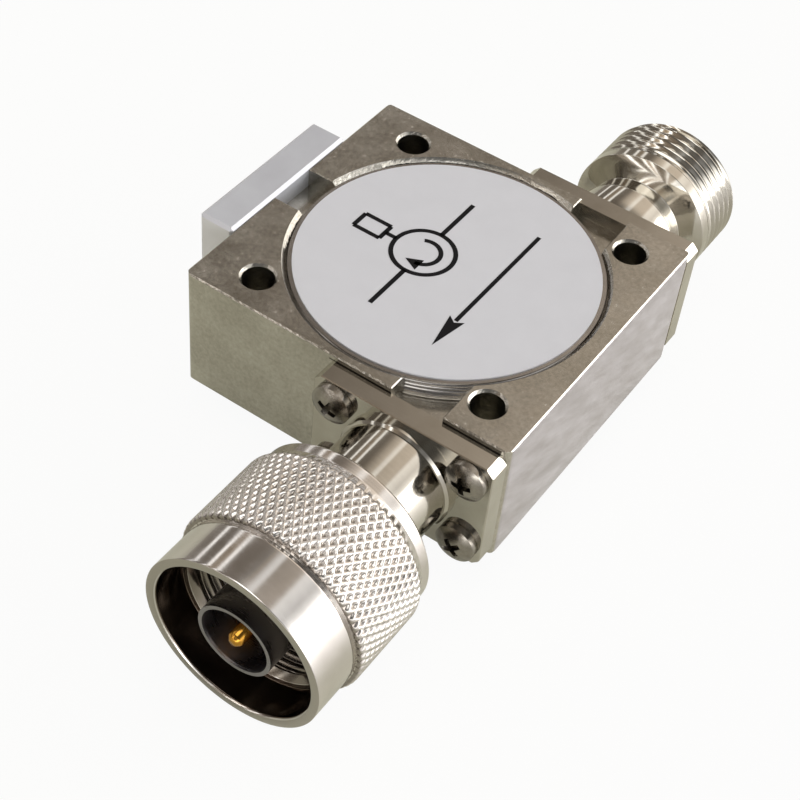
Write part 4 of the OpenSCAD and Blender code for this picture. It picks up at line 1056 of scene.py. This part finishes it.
def nut_outline():
    """The nut's whole outline, from the back of its collar round to its running bore."""
    collar = rounded([
        (NUT_BACK, NUT_BORE_R), (NUT_BACK, COLLAR_R - 0.4), (NUT_BACK + 0.4, COLLAR_R),
        (NUT_BACK + 0.55, COLLAR_R), (NUT_BACK + 1.4, COLLAR_R), (NUT_BACK + 1.5, COLLAR_R),
        (KNURL_FROM, KNURL_R - KNURL_DEPTH)])
    row = DIAMOND_LENGTH / 2 / CELLS_PER_HALF_DIAMOND
    knurl = subdivided((KNURL_FROM, KNURL_R), (KNURL_TO, KNURL_R), row)
    nose = rounded([
        (KNURL_TO, GROOVE_R), (NOSE_FROM, GROOVE_R), (NOSE_FROM, NOSE_R), (NOSE_FROM + 0.2, NOSE_R),
        (NUT_FACE - 0.2, NOSE_R), (NUT_FACE, NOSE_R), (NUT_FACE, MOUTH_R + MOUTH_CHAMFER),
        (NUT_FACE - MOUTH_CHAMFER, MOUTH_R), (MOUTH_FLOOR, MOUTH_R), (MOUTH_FLOOR, NUT_CORE_R + LEAD_IN),
        (NUT_THREAD_END, NUT_CORE_R), (0, 0)], 0.08)
    thread = subdivided((NUT_THREAD_END - 0.05, NUT_CORE_R), (RING_SLOT_TO + 0.1, NUT_CORE_R), PITCH / 10)
    back = [(RING_SLOT_TO, NUT_CORE_R), (RING_SLOT_TO, RING_SLOT_R), (RING_SLOT_FROM, RING_SLOT_R),
            (RING_SLOT_FROM, NUT_BORE_R), (NUT_BACK + 0.1, NUT_BORE_R)]
    return [*collar[CORNER:-CORNER], *knurl, *nose[:-2 * CORNER], *thread, *back]


# The knurl needs whole cells round the nut, or its last diamond wouldn't meet its first.
nut_ring = revolve("coupling_nut_blank", nut_outline(), 2 * KNURL_STARTS * CELLS_PER_HALF_DIAMOND, PLUG)

# %% [markdown]
# The two trees now shape the same ring one after the other, first the knurl outside and then the
# thread inside. Inside, the thread cuts outwards, so its depth is negative. The square cells are
# split into triangles along their shorter diagonal, which keeps the diamonds' slopes even.

# %% Coupling nut
KNURL_FLOOR, KNURL_FLAT, KNURL_END_SLOPE = 0.3, 0.8, 1.0


def coupling_nut():
    knurled = run_tree("knurled_ring", nut_ring, roll_knurl, {
        "Side": PLUG, "Surface Radius": KNURL_R, "Start": KNURL_FROM, "End": KNURL_TO,
        "Starts": KNURL_STARTS, "Diamond Length": DIAMOND_LENGTH, "Depth": KNURL_DEPTH,
        "Floor": KNURL_FLOOR, "Flat": KNURL_FLAT, "End Slope": KNURL_END_SLOPE,
        "Material": satin_nickel}, satin_nickel)
    mesh = knurled.data
    bpy.data.objects.remove(knurled)
    nut = run_tree("coupling_nut_finished", mesh, cut_thread, {
        "Side": PLUG, "Surface Radius": NUT_CORE_R, "Start": RING_SLOT_TO, "End": NUT_THREAD_END,
        "Pitch": PITCH, "Depth": -THREAD_DEPTH, "Run Out": 0.15, "Material": satin_nickel}, satin_nickel)
    work = bmesh.new()
    work.from_mesh(nut.data)
    bmesh.ops.triangulate(work, faces=work.faces, quad_method="SHORT_EDGE")
    work.to_mesh(nut.data)
    work.free()
    nut.data.shade_smooth()
    # Rolled slopes stay smooth up to a steep angle. A turned corner is sharper than that.
    nut.data.set_sharp_from_angle(angle=math.radians(65))
    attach(nut, "nut")
    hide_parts("coupling_nut")
    return nut


nut = coupling_nut()
print("nut:", len(nut.data.polygons), "faces")

# %% [markdown]
# ## The jack
# The jack is one bar of brass: a milled flange, a stepped neck and a threaded barrel. The packed
# solid has a plain barrel of the thread's outer width. Here the neck and barrel are turned again
# with the real thread. The long faces get the same extra points as the nut's.

# %% The jack's outline
NECK_R, WAIST_R, STEP_R, BARREL_R, SOCKET_R = 6.0, 5.5, 6.9, 7.94, 4.1
BARREL_FROM, JACK_THREAD_FROM = JACK_FACE - 8.2, JACK_FACE - 6.1
NECK_FROM = FLANGE_T + 0.4
BARREL_CHAMFER = 0.45


def jack_outline():
    """The neck, the waist, the step, the threaded barrel and the socket's bore, as one loop."""
    waist_from, waist_to = BARREL_FROM - 2.6, BARREL_FROM - 0.5
    neck = rounded([
        (NECK_FROM, SOCKET_R), (NECK_FROM, NECK_R), (waist_from - 0.2, NECK_R), (waist_from, NECK_R),
        (waist_from, WAIST_R), (waist_from + 0.2, WAIST_R), (waist_to - 0.2, WAIST_R),
        (waist_to, WAIST_R), (BARREL_FROM, STEP_R), (BARREL_FROM + 0.5, BARREL_R),
        (BARREL_FROM + 0.7, BARREL_R), (JACK_THREAD_FROM, BARREL_R)])
    chamfer_from = (JACK_FACE - BARREL_CHAMFER, BARREL_R)
    thread = subdivided((JACK_THREAD_FROM + 0.05, BARREL_R), chamfer_from, PITCH / 12)
    mouth = rounded([
        chamfer_from, (JACK_FACE, BARREL_R - BARREL_CHAMFER), (JACK_FACE, SOCKET_R + 0.5),
        (JACK_FACE - 0.5, SOCKET_R), (NECK_FROM, SOCKET_R), (NECK_FROM, NECK_R)])
    return [*neck[CORNER:], *thread, *mouth[CORNER:-2 * CORNER], (NECK_FROM + 0.2, SOCKET_R)]


jack_ring = revolve("jack_ring", jack_outline(), 240, JACK)

# %% [markdown]
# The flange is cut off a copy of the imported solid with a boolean, which keeps its holes and
# chamfers exactly. The box that it is cut with reaches well past the flange on every side.

# %% Jack
BOX_LOW, BOX_HIGH = -20, 40


def jack():
    body = new_object("jack_body_finished", merged_copy("jack_flange", "jack_body"), bright_nickel)
    near, far = FACE_Y - 1, FACE_Y + NECK_FROM + 0.1
    flange_space = [[(BOX_LOW, near), (BOX_HIGH, near), (BOX_HIGH, far), (BOX_LOW, far)]]
    cut(body, "INTERSECT", prism("flange_space", flange_space, BOX_LOW, BOX_HIGH))
    barrel = run_tree("jack_barrel", jack_ring, cut_thread, {
        "Side": JACK, "Surface Radius": BARREL_R, "Start": JACK_THREAD_FROM, "End": JACK_FACE - 0.2,
        "Pitch": PITCH, "Depth": THREAD_DEPTH, "Run Out": 0.5, "Material": bright_nickel}, bright_nickel)
    work = bmesh.new()
    work.from_mesh(body.data)
    work.from_mesh(barrel.data)
    work.to_mesh(body.data)
    work.free()
    bpy.data.objects.remove(barrel)
    body.data.shade_smooth()
    body.data.set_sharp_from_angle(angle=math.radians(32))
    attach(body, "block")
    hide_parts("jack_body")
    return body


jack_body = jack()
print("jack:", len(jack_body.data.polygons), "faces")

# %% [markdown]
# ## The pin
# The pin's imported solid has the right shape, but its tip is made of flat strips. A merged copy
# with smooth shading shows one narrow highlight along the gold, as a polished pin does.

# %% Centre pin
pin = new_object("plug_pin_finished", merged_copy("plug_pin_copy", "plug_pin"), gold, 50)
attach(pin, "block")
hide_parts("plug_pin")
print("pin:", len(pin.data.polygons), "faces")

# %% [markdown]
# ## Flange screws
# Eight screws hold the two flanges: pan heads stand up on the plug's flange, and heads that end
# nearly flush lie in the jack's. A screw is a turned body, so its outline is swept round its own
# axis. The seat is at the origin, and the head, domed above its rim, points to +Z.

# %% Screw body
HEAD_R, SHANK_R, SHANK_LEN = 2.15, 1.25, 3.5
SCREW_COLUMNS, DOME_STEPS = 64, 10


def screw_mesh(height, rim):
    """A screw whose head has a height, and an upright rim below its dome."""
    cap = height - rim
    dome = (HEAD_R ** 2 + cap ** 2) / (2 * cap)
    outline = [(SHANK_R, -SHANK_LEN), (SHANK_R, 0), (HEAD_R - 0.08, 0), (HEAD_R, rim * 0.1), (HEAD_R, rim)]
    for k in range(1, DOME_STEPS):
        r = HEAD_R * (1 - k / DOME_STEPS)
        outline.append((r, height - dome + math.sqrt(dome ** 2 - r ** 2)))
    work = bmesh.new()
    angles = [2 * math.pi * j / SCREW_COLUMNS for j in range(SCREW_COLUMNS)]
    rings = [[work.verts.new(Vector((r * math.cos(a), r * math.sin(a), z)) * MM) for a in angles]
             for r, z in outline]
    top = work.verts.new((0, 0, height * MM))
    foot = work.verts.new((0, 0, -SHANK_LEN * MM))
    for low, high in zip(rings, rings[1:]):
        for j in range(SCREW_COLUMNS):
            m = (j + 1) % SCREW_COLUMNS
            work.faces.new((low[j], low[m], high[m], high[j]))
    for j in range(SCREW_COLUMNS):
        m = (j + 1) % SCREW_COLUMNS
        work.faces.new((rings[-1][j], rings[-1][m], top))
        work.faces.new((rings[0][m], rings[0][j], foot))
    return closed_mesh("screw", work)


print("screw head:", 2 * HEAD_R, "mm wide")

# %% [markdown]
# A cross recess is pressed into the head with a punch. The cutter has the punch's form: four
# wings that taper downwards and whose floor rises outwards. A boolean presses it in, and a bevel
# breaks the edges, because that fine round is what glints on a real screw.

# %% Cross recess
ARM_HALF, RECESS_DEPTH = 0.36, 1.05


def recess_mesh(height, span):
    """The cutter for a cross recess in a head of a height. span is the reach of a wing."""
    low, high = height - RECESS_DEPTH, height + 0.5
    floor = [(0, -ARM_HALF * 0.7, low), (0, ARM_HALF * 0.7, low),
             (span * 0.55, ARM_HALF * 0.6, low + 0.1), (span * 0.55, -ARM_HALF * 0.6, low + 0.1)]
    mouth = [(0, -ARM_HALF, high), (0, ARM_HALF, high),
             (span, ARM_HALF * 0.9, high), (span, -ARM_HALF * 0.9, high)]
    work = bmesh.new()
    for quarter in range(4):
        turn = Matrix.Rotation(quarter * math.pi / 2, 4, "Z")
        bottom, top = [[work.verts.new(turn @ (Vector(p) * MM)) for p in loop] for loop in (floor, mouth)]
        work.faces.new(bottom[::-1])
        work.faces.new(top)
        for k in range(4):
            work.faces.new((bottom[k], bottom[(k + 1) % 4], top[(k + 1) % 4], top[k]))
    return closed_mesh("recess", work)


def screw_with_recess(name, height, rim, span):
    screw = new_object(name, screw_mesh(height, rim), screw_steel)
    cut(screw, "DIFFERENCE", recess_mesh(height, span), use_self=True)
    applied(screw, "BEVEL", width=0.035 * MM, segments=2, limit_method="ANGLE", angle_limit=math.radians(40))
    return screw


pan_screw = screw_with_recess("pan_screw", height=1.45, rim=0.75, span=1.32)
flush_screw = screw_with_recess("flush_screw", height=0.16, rim=0.1, span=1.15)
print("screws:", len(pan_screw.data.polygons), "and", len(flush_screw.data.polygons), "faces")

# %% [markdown]
# A node tree sets a copy of the screw on each seat. It is tipped to point out of the flange and
# then turned by an attribute of the seat, because real screws stop at any angle.

# %% Screws on their seats
def screw_tree():
    """Sets the screw on every point, tipped to point out of the flange and turned by the point."""
    tree, socket = new_tree("set_screws", {"Screw": pan_screw, "Tip": 1, "Material": screw_steel})
    part = add(tree, "GeometryNodeObjectInfo", {"Object": socket["Screw"]}).outputs["Geometry"]
    turn = add(tree, "GeometryNodeInputNamedAttribute", {"Name": "turn"}, data_type="FLOAT")
    spin = add(tree, "ShaderNodeCombineXYZ", {"Z": turn.outputs["Attribute"]})
    tip = add(tree, "ShaderNodeCombineXYZ", {"X": socket["Tip"]})
    placed = add(tree, "GeometryNodeInstanceOnPoints", {
        "Points": socket["Geometry"], "Instance": part, "Rotation": tip})
    spun = add(tree, "GeometryNodeRotateInstances", {
        "Instances": placed, "Rotation": spin, "Local Space": True})
    close_tree(tree, spun, socket["Material"])
    return tree


set_screws = screw_tree()
SCREW_HALF_X, SCREW_HALF_Z = 7.6, 4.55


def flange_screws(name, screw, side, turns):
    """The four screws of one flange. turns are the angles of their recesses, in degrees."""
    seats = bpy.data.meshes.new(name + "_seats")
    seat_y = side * (FACE_Y + FLANGE_T)
    seats.from_pydata([Vector((AXIS_X + x * SCREW_HALF_X, seat_y, AXIS_Z + z * SCREW_HALF_Z)) * MM
                       for x in (-1, 1) for z in (-1, 1)], [], [])
    attribute = seats.attributes.new("turn", "FLOAT", "POINT")
    attribute.data.foreach_set("value", [math.radians(a) for a in turns])
    made = run_tree(name + "_finished", seats, set_screws, {
        "Screw": screw, "Tip": -side * math.pi / 2, "Material": screw_steel}, screw_steel)
    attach(made, "block")
    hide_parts(name)
    return made


plug_screws = flange_screws("plug_screws", pan_screw, PLUG, (20, 65, 40, 10))
jack_screws = flange_screws("jack_screws", flush_screw, JACK, (35, 80, 5, 50))
for source in (pan_screw, flush_screw):
    bpy.data.objects.remove(source)
print("set screws:", len(plug_screws.data.polygons), "and", len(jack_screws.data.polygons), "faces")

# %% [markdown]
# ## The label
# The label carries what any isolator could show: an arrow for the way that power passes, and the
# usual circuit symbol for an isolator, which is a circle with a curved arrow, two ports and a
# load. The print is a thin layer of ink that follows simple outlines.

# %% Strokes of ink
INK_T = 0.02


def ink(name, outlines):
    """Flat plates of ink from outlines in millimetres, seen from above."""
    piece = new_object(name, prism(name, outlines, LABEL_TOP, LABEL_TOP + INK_T), label_ink)
    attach(piece, "block")
    return piece


def stroke(a, b, width):
    """The outline of a straight line of ink."""
    a, b = Vector(a), Vector(b)
    side = (b - a).normalized().orthogonal() * width / 2
    return [a + side, b + side, b - side, a - side]


def arc_stroke(centre, radius, start, end, width, steps=40):
    """The outline of an arc of ink between two angles in degrees."""
    angles = [math.radians(start + (end - start) * k / steps) for k in range(steps + 1)]
    outer, inner = [[(centre[0] + r * math.cos(a), centre[1] + r * math.sin(a)) for a in angles]
                    for r in (radius + width / 2, radius - width / 2)]
    return outer + inner[::-1]


print("ink stands up", INK_T, "mm over the film")

# %% [markdown]
# The arrow points the way that power passes. In the symbol, the circle's two ports lie along it,
# the short curved arrow shows the way round, and the box at the side is the load.

# %% Arrow and symbol
ARROW_X, ARROW_TAIL, ARROW_NECK, ARROW_TIP, ARROW_HALF = 5.0, 9.5, -6.1, -10.3, 0.85
ink("label_arrow", [
    stroke((ARROW_X, ARROW_TAIL), (ARROW_X, ARROW_NECK), 0.45),
    [(ARROW_X - ARROW_HALF, ARROW_NECK + 0.3), (ARROW_X, ARROW_TIP), (ARROW_X + ARROW_HALF, ARROW_NECK + 0.3),
     (ARROW_X, ARROW_NECK - 0.3)]])
SYMBOL_X, SYMBOL_R, PORT_END, LINE = -3.0, 3.3, 9.3, 0.5
TURN_R, LOAD_LENGTH, LOAD_HALF = 1.8, 3.2, 1.1
left = SYMBOL_X - SYMBOL_R
load_right = left - 1.4
load_left = load_right - LOAD_LENGTH
circle = [arc_stroke((SYMBOL_X, 0), SYMBOL_R, start, start + 180, LINE) for start in (0, 180)]
ports = [stroke((SYMBOL_X, side * SYMBOL_R), (SYMBOL_X, side * PORT_END), LINE) for side in (1, -1)]
turn_arrow = [
    arc_stroke((SYMBOL_X, 0), TURN_R, 120, -85, LINE),
    [(SYMBOL_X + 0.75, -0.95), (SYMBOL_X + 0.75, -2.65), (SYMBOL_X - 0.95, -TURN_R)],
]
load_wire = [stroke((left, 0), (load_right, 0), LINE)]
load_ends = [stroke((x, -LOAD_HALF), (x, LOAD_HALF), LINE) for x in (load_right, load_left)]
load_sides = [stroke((load_right, y), (load_left, y), LINE) for y in (LOAD_HALF, -LOAD_HALF)]
symbol = ink("label_symbol", [*circle, *ports, *load_wire, *turn_arrow, *load_ends, *load_sides])
print("symbol:", len(symbol.data.polygons), "faces of ink")
